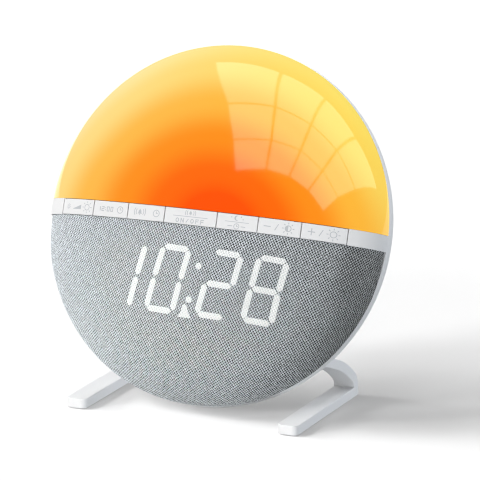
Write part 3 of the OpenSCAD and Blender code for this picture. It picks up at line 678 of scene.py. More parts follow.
def arc_table(a, b, steps=4000):
    """Length along the ellipse from the crown against the radius there."""
    t = np.linspace(0, math.pi / 2, steps)
    r, n = a * np.sin(t), b * np.cos(t)
    s = np.concatenate([[0], np.cumsum(np.hypot(np.diff(r), np.diff(n)))])
    return s, r


ARC_S, ARC_R = arc_table(CLOTH_A, CLOTH_B)
ARC_END = float(ARC_S[-1])

# The display's lit shapes on the cloth. Each figure hangs on six points of its
# segments' centre lines: top, middle and bottom, left and right.
SEG_W = 2.65
DIGITS = [
    ("bc", (-32.1, -14.0), (-19.8, -14.3), (-35.3, -27.6), (-23.0, -27.9), (-38.5, -41.2), (-26.3, -41.5)),
    ("abcdef", (-10.8, -13.9), (1.5, -14.4), (-14.1, -27.6), (-1.6, -28.1), (-17.3, -41.1), (-4.6, -41.6)),
    ("abdeg", (13.4, -13.9), (25.4, -14.4), (10.4, -27.7), (22.6, -28.1), (7.2, -41.3), (19.4, -41.7)),
    ("abcdefg", (33.5, -14.0), (45.4, -14.6), (30.9, -27.7), (42.6, -28.2), (28.0, -41.3), (40.0, -41.6)),
]
DOTS = [(6.5, -20.9), (3.1, -35.7)]
BELL = [(1.3, -37.7), (2.3, -38.4), (3.3, -41.6), (4.7, -43.6), (-2.0, -43.5), (-0.5, -41.6), (0.4, -38.4)]


def strip(p, q, w, cut):
    """Segment between two points: a bar with pointed ends, a little short of both."""
    p, q = np.array(p, float), np.array(q, float)
    d = (q - p) / np.hypot(*(q - p))
    n = np.array([-d[1], d[0]]) * w
    p, q = p + d * cut, q - d * cut
    return [tuple(c) for c in (p, p + d * w + n, q - d * w + n, q, q - d * w - n, p + d * w - n)]


def lit_polygons():
    """Convex outlines: level segments in one list, upright ones in the other, so that the thin gaps between them stay sharp."""
    level, upright = [], []
    for on, tl, tr, ml, mr, bl, br in DIGITS:
        for name, p, q in (("a", tl, tr), ("g", ml, mr), ("d", bl, br)):
            if name in on:
                level.append(strip(p, q, SEG_W / 2, 0.3))
        for name, p, q in (("b", tr, mr), ("c", mr, br), ("f", tl, ml), ("e", ml, bl)):
            if name in on:
                upright.append(strip(p, q, SEG_W / 2, 0.3))
    return level, upright


def depth_in(points, outline):
    """Signed distance from a convex outline's edges, negative inside."""
    o = np.array(outline, float)
    area = np.sum(o[:, 0] * np.roll(o[:, 1], -1) - np.roll(o[:, 0], -1) * o[:, 1])
    if area < 0:
        o = o[::-1]
    out = np.full(len(points), -1e9)
    for p, q in zip(o, np.roll(o, -1, axis=0)):
        d = q - p
        normal = np.array([d[1], -d[0]]) / np.hypot(*d)
        out = np.maximum(out, (points - p) @ normal)
    return out


def lit_distance(points):
    level, upright = lit_polygons()
    a = np.full(len(points), 9.0)
    b = np.full(len(points), 9.0)
    for o in level:
        a = np.minimum(a, depth_in(points, o))
    for o in upright:
        b = np.minimum(b, depth_in(points, o))
    for c in DOTS:
        a = np.minimum(a, np.hypot(points[:, 0] - c[0], points[:, 1] - c[1]) - 1.4)
    b = np.minimum(b, depth_in(points, BELL[:3] + BELL[-2:]))
    b = np.minimum(b, depth_in(points, [BELL[2], BELL[3], BELL[4], BELL[5]]))
    return a, b


def on_cloth(flat):
    """Flat cloth coordinates (mm) to disc x, u on the dome."""
    s = np.hypot(flat[:, 0], flat[:, 1])
    r = np.interp(s, ARC_S, ARC_R)
    k = np.where(s > 1e-9, r / np.maximum(s, 1e-9), 1.0)
    return flat * k[:, None]


def thread_height(a, b):
    ia, ib = np.floor(a), np.floor(b)
    fa, fb = a - ia - 0.5, b - ib - 0.5
    side = np.where((ia + ib) % 2 == 0, 1.0, -1.0)
    prof = lambda f: np.sqrt(np.maximum(0, 1 - (f / 0.42) ** 2))
    h1 = 0.32 * side * np.cos(math.pi * fb) + prof(fa)
    h2 = -0.32 * side * np.cos(math.pi * fa) + prof(fb)
    return np.maximum(h1, h2)


RELIEF = 0.38


def soft(x, lo, hi):
    t = np.clip((x - lo) / (hi - lo), 0, 1)
    return t * t * (3 - 2 * t)


def make_cloth():
    per = 3
    f = np.array([THREAD_1, THREAD_2])
    back = np.linalg.inv(f)
    ka = int(math.ceil(ARC_END * np.hypot(*THREAD_1) * per)) + 2
    kb = int(math.ceil(ARC_END * np.hypot(*THREAD_2) * per)) + 2
    ia, ib = np.arange(-ka, ka + 1), np.arange(-kb, kb + 1)
    A, B = np.meshgrid(ia / per, ib / per, indexing="ij")
    flat = np.stack([A.ravel(), B.ravel()], 1) @ back.T

    def outside(p):
        """Positive past the rim or above the top edge."""
        xu = on_cloth(p)
        return np.hypot(p[:, 0], p[:, 1]) - ARC_END, xu[:, 1] - CLOTH_TOP

    g1, g2 = outside(flat)
    inside = ((g1 <= 0) & (g2 <= 0)).reshape(A.shape)
    count = inside[:-1, :-1].astype(int) + inside[1:, :-1] + inside[1:, 1:] + inside[:-1, 1:]
    nb = len(ib)
    index = np.arange(A.size).reshape(A.shape)
    quads = np.stack([index[:-1, :-1], index[1:, :-1], index[1:, 1:], index[:-1, 1:]], -1)
    whole = quads[count == 4]
    partial = quads[(count > 0) & (count < 4)]
    points = [tuple(p) for p in flat]
    faces = [tuple(q) for q in whole]

    def cut(poly, which):
        g = [float(outside(np.array([p]))[which][0]) for p in poly]
        out = []
        for i in range(len(poly)):
            p, q, gp, gq = poly[i], poly[(i + 1) % len(poly)], g[i], g[(i + 1) % len(poly)]
            if gp <= 0:
                out.append(p)
            if (gp <= 0) != (gq <= 0):
                lo, hi = (np.array(p), np.array(q)) if gp <= 0 else (np.array(q), np.array(p))
                for _ in range(26):
                    mid = (lo + hi) / 2
                    if float(outside(mid[None])[which][0]) <= 0:
                        lo = mid
                    else:
                        hi = mid
                out.append(tuple(lo))
        return out

    for q in partial:
        poly = cut([points[k] for k in q], 0)
        if len(poly) > 2:
            poly = cut(poly, 1)
        if len(poly) > 2:
            base = len(points)
            points.extend(poly)
            faces.append(tuple(range(base, base + len(poly))))
    flat = np.array(points)
    xu = on_cloth(flat)
    n = dome_n(CLOTH_A, CLOTH_B, xu[:, 0], xu[:, 1])
    skin = np.column_stack([xu, n])
    normal = skin / np.array([CLOTH_A**2, CLOTH_A**2, CLOTH_B**2])
    normal /= np.linalg.norm(normal, axis=1)[:, None]
    ab = flat @ f.T
    edge = np.minimum(ARC_END - np.hypot(flat[:, 0], flat[:, 1]), CLOTH_TOP - xu[:, 1])
    fade = np.clip(edge / 0.4, 0, 1)
    fade = fade * fade * (3 - 2 * fade)
    low = -0.95
    height = (thread_height(ab[:, 0], ab[:, 1]) - 1.32) * fade + low * (1 - fade)
    skin = skin + normal * (height * RELIEF)[:, None]
    # stretched over the rolled rim, the cloth stands full there, least under the control strip and at the very bottom
    turn = np.degrees(np.arctan2(xu[:, 1], xu[:, 0])) + 90
    full = 0.95 * soft(-xu[:, 1], 4, 26) * (1 - 0.6 * np.exp(-((turn / 17) ** 2)))
    full = full * soft(np.hypot(xu[:, 0], xu[:, 1]), 45, 76)
    skin[:, :2] += xu / np.maximum(np.hypot(xu[:, 0], xu[:, 1]), 1e-6)[:, None] * full[:, None]
    hem = np.clip(1 - (ARC_END - np.hypot(flat[:, 0], flat[:, 1])) / 0.5, 0, 1)
    skin[:, 2] -= 0.35 * hem * full / 0.95
    used = np.zeros(len(skin), bool)
    for face in faces:
        used[list(face)] = True
    renumber = np.cumsum(used) - 1
    faces = [tuple(int(renumber[k]) for k in face) for face in faces]
    skin, ab, xu = skin[used], ab[used], xu[used]
    obj = new_object("fabric_cover_cloth", skin, faces)
    mesh = obj.data
    lit = lit_distance(xu)
    for name, values in zip(("lit_a", "lit_b"), lit):
        layer = mesh.attributes.new(name, "FLOAT", "POINT")
        layer.data.foreach_set("value", np.clip(values, -3, 3).astype(np.float32))
    corner = np.empty(len(mesh.loops), np.int32)
    mesh.loops.foreach_get("vertex_index", corner)
    uv = mesh.uv_layers.new(name="weave")
    uv.data.foreach_set("uv", ab[corner].astype(np.float32).ravel())
    bm = bmesh.new()
    bm.from_mesh(mesh)
    bmesh.ops.remove_doubles(bm, verts=bm.verts, dist=0.012)
    bmesh.ops.recalc_face_normals(bm, faces=bm.faces)
    if sum(f_.normal.z for f_ in list(bm.faces)[:: max(1, len(bm.faces) // 200)]) < 0:
        bmesh.ops.reverse_faces(bm, faces=bm.faces)
    # the hem, turned in behind the edge
    rim = [e for e in bm.edges if e.is_boundary]
    made = bmesh.ops.extrude_edge_only(bm, edges=rim)
    for v in made["geom"]:
        if isinstance(v, bmesh.types.BMVert):
            g = Vector((v.co.x / CLOTH_A**2, v.co.y / CLOTH_A**2, v.co.z / CLOTH_B**2)).normalized()
            v.co -= g * 0.55
    for face in bm.faces:
        face.smooth = True
    bm.to_mesh(mesh)
    bm.free()
    piece(obj, "housing", ["fabric_cover"], [cloth], plain=True)
    return obj


make_cloth()


# ---------------------------------------------------------------- white front frame
CHAN_TOP, CHAN_BOT = 3.45, -4.05
DECK_N, DECK_T, SWITCH_N = 12.2, 1.2, 6.0
HOUSE = [(68 * math.cos(math.radians(a)), 68 * math.sin(math.radians(a))) for a in (90, 25, 155, 270, 340, 200)]
KEY_POSTS = [EDGES[1], EDGES[3], EDGES[4], EDGES[6]]
BOX_X0, BOX_X1, BOX_U0, BOX_U1 = -40.5, 48.5, -46.3, -9.8


def wall(a, b, u0, u1, bottom, x_from=None, x_to=None, nx=120, nu=2, crowd=1.0):
    """Upright slab between two heights whose top lies on an ellipsoid, across the disc or over part of it."""
    v, f = [], []
    for j in range(nu + 1):
        u = u0 + (u1 - u0) * j / nu
        xm = math.sqrt(max(0.0, a * a - u * u))
        lo, hi = (-xm if x_from is None else x_from), (xm if x_to is None else x_to)
        for i in range(nx + 1):
            s = i / nx
            if x_from is None and x_to is None:
                x = xm * math.sin(math.pi * (s - 0.5))
            elif x_from is None:
                x = lo + (hi - lo) * s**crowd
            else:
                x = hi - (hi - lo) * (1 - s) ** crowd
            v.append((x, u, float(dome_n(a, b, x, u))))
    top = len(v)
    v += [(x, u, bottom) for x, u, _ in v[:top]]
    w = nx + 1
    for j in range(nu):
        for i in range(nx):
            q = [j * w + i, j * w + i + 1, (j + 1) * w + i + 1, (j + 1) * w + i]
            f.append(q)
            f.append([k + top for k in q[::-1]])
    for i in range(nx):
        for j in (0, nu):
            f.append([j * w + i, j * w + i + 1, j * w + i + 1 + top, j * w + i + top])
    for j in range(nu):
        for i in (0, nx):
            f.append([j * w + i, (j + 1) * w + i, (j + 1) * w + i + top, j * w + i + top])
    return v, f


def make_front_frame():
    lip = [(76.4, -BAND), (79.9, -BAND), (R, -BAND + 0.1), (R, -0.5), (79.95, -0.28), (79.82, -0.1), (79.62, 0.0), (76.4, 0.0)]
    ring = solid("front_frame_moulding", turned(0, 0, lip, 320))
    half = [(62.4 * math.cos(t), 62.4 * math.sin(t)) for t in np.linspace(math.asin(CHAN_TOP / 62.4), math.pi - math.asin(CHAN_TOP / 62.4), 80)]
    adds = [
        turned(0, 0, [(62, -BAND), (77, -BAND), (77, -1.6), (62, -1.6)], 160),
        extrude(half, -BAND, -1.6),
        wall(77.75, 29.85, CHAN_TOP, CHAN_TOP + 1.5, -1.0),
        wall(76.83, 29.33, CHAN_BOT - 1.5, CHAN_BOT, -1.0),
        block(-64, 64, CHAN_BOT - 1.5, CHAN_BOT, -BAND, 0),
        block(-64, 64, CHAN_TOP, CHAN_TOP + 1.5, -BAND, 0),
        wall(R, DOME, -3.8, 3.3, -1.0, None, EDGES[0] - 0.2, nx=30, nu=8, crowd=1.8),
        wall(R, DOME, -3.8, 3.3, -1.0, EDGES[7] + 0.2, None, nx=30, nu=8, crowd=1.8),
        block(-R + 6.6, EDGES[0] - 0.2, CHAN_BOT - 0.5, CHAN_TOP + 0.5, -BAND, 8),
        block(EDGES[7] + 0.2, R - 6.6, CHAN_BOT - 0.5, CHAN_TOP + 0.5, -BAND, 8),
        block(EDGES[0] - 2, EDGES[7] + 2, CHAN_BOT - 0.3, CHAN_TOP + 0.3, DECK_N, DECK_N + DECK_T),
        block(BOX_X0 - 6, BOX_X0, BOX_U1 - 2, CHAN_BOT, -BAND, 4.4),
        block(BOX_X1, BOX_X1 + 6, BOX_U1 - 2, CHAN_BOT, -BAND, 4.4),
        cylinder(BOX_X0 - 3, BOX_U0 - 0.5, 3, -BAND, 4.4),
        cylinder(BOX_X1 + 3, BOX_U0 - 0.5, 3, -BAND, 4.4),
    ]
    adds += [cylinder(x, -0.3, 2.2, SWITCH_N, DECK_N + 0.4) for x in KEY_POSTS]
    adds += [cylinder(x, u, 3.6, -BAND, 4.0) for x, u in HOUSE]
    for part in adds:
        boolean(ring, solid("part", part), "UNION")
    cuts = []
    for i in range(7):
        k = (EDGES[i] + EDGES[i + 1]) / 2
        cuts.append(block(k - 1.8, k + 1.8, -2.1, 1.5, DECK_N - 1, DECK_N + DECK_T + 1))
    cuts += [cylinder(x, -0.3, 0.85, SWITCH_N - 1, SWITCH_N + 5.4, 24) for x in KEY_POSTS]
    cuts += [cylinder(x, u, 1.25, -BAND - 1, 7 - BAND, 24) for x, u in HOUSE]
    cuts.append(cylinder(0, 52, 3, -BAND - 1, -BAND + 3))
    boolean(ring, solid("part", *cuts), "DIFFERENCE")
    # room for the leg screws, inside the outer band
    for s in (-1, 1):
        room = solid("part", block(s * LEG_X - 6.5, s * LEG_X + 6.5, LEG_U1 - 7.2, LEG_U1 + 2.2, -BAND - 1, 0))
        boolean(room, solid("part", cylinder(0, 0, 78.3, -BAND - 2, 1, 240)), "INTERSECT")
        boolean(ring, room, "DIFFERENCE")
    piece(ring, "housing", ["front_frame"], [white_case], domes=[(R, DOME, 0)])


make_front_frame()


# ---------------------------------------------------------------- buttons and their legends
def make_key(i, name):
    x0, x1, u0, u1 = EDGES[i] + 0.2, EDGES[i + 1] - 0.2, -3.65, 3.15
    nx, nu = max(24, int((x1 - x0) / 0.7)), 10
    v, f = [], []
    for a, b in ((R, DOME), (R - 2.4, DOME - 2.4)):
        for j in range(nu + 1):
            for k in range(nx + 1):
                x, u = x0 + (x1 - x0) * k / nx, u0 + (u1 - u0) * j / nu
                v.append((x, u, float(dome_n(a, b, x, u))))
    w, top = nx + 1, (nx + 1) * (nu + 1)
    for j in range(nu):
        for k in range(nx):
            q = [j * w + k, j * w + k + 1, (j + 1) * w + k + 1, (j + 1) * w + k]
            f += [q, [m + top for m in q[::-1]]]
    for k in range(nx):
        for j in (0, nu):
            f.append([j * w + k, j * w + k + 1, j * w + k + 1 + top, j * w + k + top])
    for j in range(nu):
        for k in (0, nx):
            f.append([j * w + k, (j + 1) * w + k, (j + 1) * w + k + top, j * w + k + top])
    cap = solid(name + "_button_cap", (v, f))
    bevel(cap, 0.16, 3, 60)
    kx = (x0 + x1) / 2
    roof = float(dome_n(R - 2.4, DOME - 2.4, abs(kx) - 1.6 if abs(kx) > 2 else 0, 0)) + 0.6
    boolean(cap, solid("part", block(kx - 1.6, kx + 1.6, -1.9, 1.3, 10.5, roof)), "UNION")
    boolean(cap, solid("part", block(kx - 2.4, kx + 2.4, -1.9, 1.3, 11.15, 12.15)), "UNION")
    piece(cap, name + "_key", [name + "_button"], [white_key], domes=[(R, DOME, 0), (R - 2.4, DOME - 2.4, 0)])


# Legends are lists of flat outlines in millimetres round the button's middle.
def bar(x0, u0, x1, u1, w):
    d = math.hypot(x1 - x0, u1 - u0)
    px, pu = -(u1 - u0) / d * w / 2, (x1 - x0) / d * w / 2
    n = max(1, int(d / 1.2))
    out = []
    for k in range(n):
        ax, au = x0 + (x1 - x0) * k / n, u0 + (u1 - u0) * k / n
        bx, bu = x0 + (x1 - x0) * (k + 1) / n, u0 + (u1 - u0) * (k + 1) / n
        out.append([(ax - px, au - pu), (bx - px, bu - pu), (bx + px, bu + pu), (ax + px, au + pu)])
    return out


def hoop(cx, cu, rx, ru, w, a0=0, a1=360, seg=24):
    out = []
    for k in range(seg):
        t0, t1 = (math.radians(a0 + (a1 - a0) * t / seg) for t in (k, k + 1))
        o = [(cx + (rx + w / 2) * math.cos(t), cu + (ru + w / 2) * math.sin(t)) for t in (t0, t1)]
        i = [(cx + (rx - w / 2) * math.cos(t), cu + (ru - w / 2) * math.sin(t)) for t in (t1, t0)]
        out.append(o + i)
    return out


def spot(cx, cu, r, seg=20):
    return [circle(cx, cu, r, seg)]


def wedge(x0, x1, u0, tall, steps=6):
    """Rising bar that grows from nothing on the left, in slices that follow the curved face."""
    xs = [x0 + (x1 - x0) * k / steps for k in range(steps + 1)]
    top = lambda x: u0 + 0.1 + (tall - 0.1) * (x - x0) / (x1 - x0)
    return [[(a, u0), (b, u0), (b, top(b)), (a, top(a))] for a, b in zip(xs, xs[1:])]


def clock_icon(cx, cu, r, w=0.2):
    return hoop(cx, cu, r, r, w) + bar(cx, cu - 0.05, cx, cu + r * 0.62, w) + bar(cx - 0.05, cu, cx + r * 0.5, cu, w)


def bell_icon(cx, cu, s):
    body = [(cx + s * x, cu + s * u) for x, u in ((-0.8, -0.55), (0.8, -0.55), (0.55, -0.2), (0.5, 0.35), (0.25, 0.7), (-0.25, 0.7), (-0.5, 0.35), (-0.55, -0.2))]
    return [body] + spot(cx, cu - s * 0.78, s * 0.2, 12) + spot(cx, cu + s * 0.82, s * 0.14, 10)


def sun_icon(cx, cu, r, rays=8, w=0.18, half=False):
    out = hoop(cx, cu, r, r, w)
    if half:
        out.append([(cx + r * math.cos(t), cu + r * math.sin(t)) for t in np.linspace(math.pi / 2, 3 * math.pi / 2, 14)])
    for k in range(rays):
        t = 2 * math.pi * k / rays
        out += bar(cx + r * 1.5 * math.cos(t), cu + r * 1.5 * math.sin(t), cx + r * 2.1 * math.cos(t), cu + r * 2.1 * math.sin(t), w)
    return out


def letters(text, cx, cu, h, w, gap, stroke):
    """Plain stroke lettering for ON/OFF."""
    out, x = [], cx - (len(text) * w + (len(text) - 1) * gap) / 2
    for c in text:
        l, r, b, t = x + stroke / 2, x + w - stroke / 2, cu - h / 2 + stroke / 2, cu + h / 2 - stroke / 2
        if c == "O":
            out += hoop((l + r) / 2, cu, (r - l) / 2, (t - b) / 2, stroke)
        elif c == "N":
            out += bar(l, b - stroke / 2, l, t + stroke / 2, stroke) + bar(r, b - stroke / 2, r, t + stroke / 2, stroke) + bar(l, t, r, b, stroke)
        elif c == "F":
            out += bar(l, b - stroke / 2, l, t + stroke / 2, stroke) + bar(l, t, r + stroke / 2, t, stroke) + bar(l, cu, r, cu, stroke)
        elif c == "/":
            out += bar(l + 0.1, b, r - 0.1, t, stroke)
        x += w + gap
    return out


def figures(text, cx, cu, h, w, gap, stroke):
    """Plain numerals for a clock's time."""
    shape = {"1": "bc", "2": "abged", "0": "abcdef"}
    out = []
    total = sum((w if c != ":" else stroke) for c in text) + gap * (len(text) - 1)
    x = cx - total / 2
    for c in text:
        if c == ":":
            out += spot(x + stroke / 2, cu + h * 0.2, stroke * 0.6, 10) + spot(x + stroke / 2, cu - h * 0.2, stroke * 0.6, 10)
            x += stroke + gap
            continue
        l, r, b, t = x + stroke / 2, x + w - stroke / 2, cu - h / 2 + stroke / 2, cu + h / 2 - stroke / 2
        ends = {"a": (l, t, r, t), "b": (r, t, r, cu), "c": (r, cu, r, b), "d": (l, b, r, b), "e": (l, b, l, cu), "f": (l, cu, l, t), "g": (l, cu, r, cu)}
        for s in shape[c]:
            x0, u0, x1, u1 = ends[s]
            if s in "adg":
                x0, x1 = x0 - stroke / 2, x1 + stroke / 2
            out += bar(x0, u0, x1, u1, stroke)
        x += w + gap
    return out


def legend_shapes():
    out = {}
    out["dimmer"] = sun_icon(-5.6, 0, 0.6, 8, 0.26) + wedge(-2.9, 1.9, -1.0, 2.0) + sun_icon(5.4, 0, 1.25, 8, 0.32)
    out["time"] = figures("12:00", -2.6, 0, 2.2, 1.4, 0.55, 0.36) + clock_icon(5.2, 0, 1.45, 0.32)
    ring = hoop(-3.0, 0.1, 1.9, 1.9, 0.3, -38, 38, 8) + hoop(-3.0, 0.1, 1.9, 1.9, 0.3, 142, 218, 8)
    ring += hoop(-3.0, 0.1, 2.8, 2.8, 0.3, -34, 34, 10) + hoop(-3.0, 0.1, 2.8, 2.8, 0.3, 146, 214, 10)
    out["alarm"] = bell_icon(-3.0, 0, 1.35) + ring + clock_icon(5.2, 0, 1.45, 0.32)
    out["alarm_switch"] = (
        bell_icon(0, 1.72, 1.0)
        + hoop(0, 1.75, 1.6, 1.6, 0.28, -36, 36, 8) + hoop(0, 1.75, 1.6, 1.6, 0.28, 144, 216, 8)
        + hoop(0, 1.75, 2.4, 2.4, 0.28, -26, 26, 8) + hoop(0, 1.75, 2.4, 2.4, 0.28, 154, 206, 8)
        + bar(-8.2, 0.1, 8.2, 0.1, 0.26)
        + letters("ON/OFF", 0, -1.75, 2.0, 1.6, 0.75, 0.36)
    )
    moon = [(1.15 * math.cos(t) - 0.2, 1.8 + 1.15 * math.sin(t)) for t in np.linspace(math.radians(60), math.radians(300), 16)]
    moon += [(0.92 * math.cos(t) + 0.25, 1.8 + 0.95 * math.sin(t)) for t in np.linspace(math.radians(292), math.radians(68), 12)]
    out["sleep"] = (
        [moon] + spot(1.7, 2.4, 0.32, 10) + spot(2.6, 1.4, 0.26, 10) + spot(-2.6, 2.1, 0.26, 10)
        + bar(-5.4, 0.1, 5.4, 0.1, 0.26)
        + clock_icon(0, -1.78, 1.15, 0.3) + bar(-4.0, -1.75, -1.9, -1.75, 0.34) + bar(1.9, -1.75, 4.0, -1.75, 0.34)
    )
    out["minus"] = bar(-6.6, 0, -3.6, 0, 0.4) + bar(-1.7, -1.4, -0.3, 1.4, 0.32) + sun_icon(3.9, 0, 1.25, 8, 0.34, half=True)
    out["plus"] = bar(-6.4, 0, -3.4, 0, 0.4) + bar(-4.9, -1.5, -4.9, 1.5, 0.4) + bar(-1.7, -1.4, -0.3, 1.4, 0.32) + sun_icon(3.9, 0, 1.3, 8, 0.34)
    return out


def make_legend(i, name, shapes):
    kx, ku = (EDGES[i] + EDGES[i + 1]) / 2, -0.25
    bm = bmesh.new()
    for outline in shapes:
        tops, foots = [], []
        for x, u in outline:
            n = float(dome_n(R, DOME, kx + x, ku + u))
            tops.append(bm.verts.new((kx + x, ku + u, n + 0.022)))
            foots.append(bm.verts.new((kx + x, ku + u, n - 0.012)))
        bm.faces.new(tops)
        bm.faces.new(foots[::-1])
        for a in range(len(tops)):
            b = (a + 1) % len(tops)
            bm.faces.new((tops[a], foots[a], foots[b], tops[b]))
    bmesh.ops.recalc_face_normals(bm, faces=bm.faces)
    mesh = bpy.data.meshes.new(name + "_legend")
    bm.to_mesh(mesh)
    bm.free()
    obj = bpy.data.objects.new(name + "_legend", mesh)
    bpy.context.scene.collection.objects.link(obj)
    piece(obj, name + "_key", (), [legend_grey], angle=30)


drawn = legend_shapes()
for number, key_name in enumerate(KEYS):
    make_key(number, key_name)
    make_legend(number, key_name, drawn[key_name])


# ---------------------------------------------------------------- back of the housing
DOOR_X, DOOR_U = -14.0, 15.0
JACK_X, JACK_U = 20.0, 17.0
SPEAKER_U = -20.0


def back_profile(a, b, cut, steps):
    top = math.asin(cut / b)
    return [(a * math.cos(top * i / steps), -BAND - b * math.sin(top * i / steps)) for i in range(steps + 1)]


def make_rear_shell():
    outer = back_profile(R, BACK_H, BACK_FLAT, 44)
    inner = back_profile(R - WALL, BACK_H - WALL, BACK_FLAT - WALL, 30)
    # soften the turn from the curve to the flat
    edge_r, edge_n = outer[-1]
    soft = [(edge_r - 0.35, edge_n)]
    outer = outer[:-1] + [(edge_r + 0.28, edge_n + 0.12)] + soft
    outer[0] = (R - 0.1, -BAND)
    outer.insert(1, (R, -BAND - 0.12))
    skin = solid("rear_shell_moulding", turned(0, 0, [(0, -BAND)] + outer + [(0, FLAT_N)], 288))
    hollow = solid("part", turned(0, 0, [(0, 5)] + [(R - WALL, 5)] + inner + [(0, IN_FLAT_N)], 192))
    fill = []
    for x, u in HOUSE:
        fill.append(cylinder(x, u, 4.4, -30, -BAND - 0.02, 40))
    for s in (-1, 1):
        fill.append(block(s * LEG_X - 6.9, s * LEG_X + 6.9, LEG_U1 - 6.7, LEG_U1 + 2, -30, -BAND - 0.2))
    for x in (-34, 34):
        for u in (8, 42):
            fill.append(cylinder(x, u, 3, -30, -13, 32))
    fill.append(block(DOOR_X - 11.8, DOOR_X + 11.8, DOOR_U - 12.2, DOOR_U + 12.2, -30, IN_FLAT_N + 4.2))
    r_hole = 21 - 1.7
    for a in (45, 135, 225, 315):
        fill.append(cylinder(r_hole * math.cos(math.radians(a)), SPEAKER_U + r_hole * math.sin(math.radians(a)), 1.5, -30, IN_FLAT_N + 1, 24))
    fill.append(cylinder(DOOR_X, DOOR_U + 14.6, 3, -30, IN_FLAT_N + 3, 32))
    for part in fill:
        boolean(hollow, solid("part", part), "DIFFERENCE")
    boolean(skin, hollow, "DIFFERENCE")
    cuts = []
    for x, u in HOUSE:
        cuts.append(turned(x, u, [(0, -30), (3.2, -30), (3.2, -9), (1.7, -9), (1.7, 10), (0, 10)], 48))
    for s in (-1, 1):
        cuts.append(block(s * LEG_X - LEG_W / 2 - 0.15, s * LEG_X + LEG_W / 2 + 0.15, LEG_U1 - LEG_T - 0.15, LEG_U1 + 0.15, -40, -5.5))
        for d in (-2.6, 2.6):
            cuts.append(cylinder(s * LEG_X + d, LEG_U1 - LEG_T / 2, 1.2, -5.6, 2, 24))
    for x in (-34, 34):
        for u in (8, 42):
            cuts.append(cylinder(x, u, 0.85, -18, -12, 20))
    for part in cuts:
        boolean(skin, solid("part", part), "DIFFERENCE")
    # door recess with softened corners, its thumb notch and the cell's pocket
    boolean(skin, solid("part", extrude(round_rect(DOOR_X - 11.7, DOOR_X + 11.7, DOOR_U - 12.2, DOOR_U + 12.2, 1.1), -30, FLAT_N + 1.5)), "DIFFERENCE")
    boolean(skin, solid("part", extrude(slot_outline(DOOR_X, DOOR_U + 6, DOOR_U + 18, 3.4, 16), -30, FLAT_N + 1.5)), "DIFFERENCE")
    boolean(skin, solid("part", cylinder(DOOR_X, DOOR_U + 14.6, 0.8, -30, IN_FLAT_N + 2.6, 20)), "DIFFERENCE")
    boolean(skin, solid("part", cylinder(DOOR_X, DOOR_U, 10.4, -30, IN_FLAT_N + 3, 64)), "DIFFERENCE")
    # inlet with a shallow dish round it
    dish = [(0, -30), (5.2, -30), (5.2, FLAT_N), (4.3, FLAT_N + 0.7), (4.3, -18), (0, -18)]
    boolean(skin, solid("part", turned(JACK_X, JACK_U, dish, 48)), "DIFFERENCE")
    holes = []
    for k in range(4):
        for i in range(max(1, 6 * k)):
            t = 0 if k == 0 else 2 * math.pi * i / (6 * k)
            x, u = 3.9 * k * math.cos(t), SPEAKER_U + 3.9 * k * math.sin(t)
            holes.append(turned(x, u, [(0, -30), (1.4, -30), (1.4, FLAT_N), (1.1, FLAT_N + 0.3), (1.1, -18), (0, -18)], 20))
    boolean(skin, solid("part", *holes), "DIFFERENCE")
    vents = [extrude(slot_outline(7.0 * i, 50, 60, 1.1), -30, -10) for i in range(-3, 4)]
    boolean(skin, solid("part", *vents), "DIFFERENCE")
    bm = bmesh.new()
    bm.from_mesh(skin.data)
    bmesh.ops.remove_doubles(bm, verts=bm.verts, dist=1e-4)
    bm.to_mesh(skin.data)
    bm.free()
    piece(skin, "housing", ["rear_shell"], [white_case], domes=[(R, BACK_H, -BAND), (R - WALL, BACK_H - WALL, -BAND)], flats=[FLAT_N])


make_rear_shell()


def make_door():
    slab = solid(
        "cell_door_moulding",
        extrude(round_rect(DOOR_X - 11.5, DOOR_X + 11.5, DOOR_U - 12, DOOR_U + 12, 0.9), FLAT_N + 0.05, FLAT_N + 1.4),
    )
    boolean(slab, solid("part", extrude(slot_outline(DOOR_X, DOOR_U + 6, DOOR_U + 17.8, 3.2, 16), FLAT_N + 0.05, FLAT_N + 1.4)), "UNION")
    bevel(slab, 0.18, 2, 60)
    grips = [extrude(round_rect(DOOR_X - 5, DOOR_X + 5, DOOR_U - 9.6 + 1.5 * k, DOOR_U - 9.0 + 1.5 * k, 0.28, 4), FLAT_N - 1, FLAT_N + 0.4) for k in range(4)]
    boolean(slab, solid("part", *grips), "DIFFERENCE")
    hole = turned(DOOR_X, DOOR_U + 14.6, [(0, -30), (1.5, -30), (1.5, FLAT_N + 0.05), (1.1, FLAT_N + 0.35), (1.1, -18), (0, -18)], 32)
    boolean(slab, solid("part", hole), "DIFFERENCE")
    piece(slab, "housing", ["cell_door"], [white_case])


make_door()


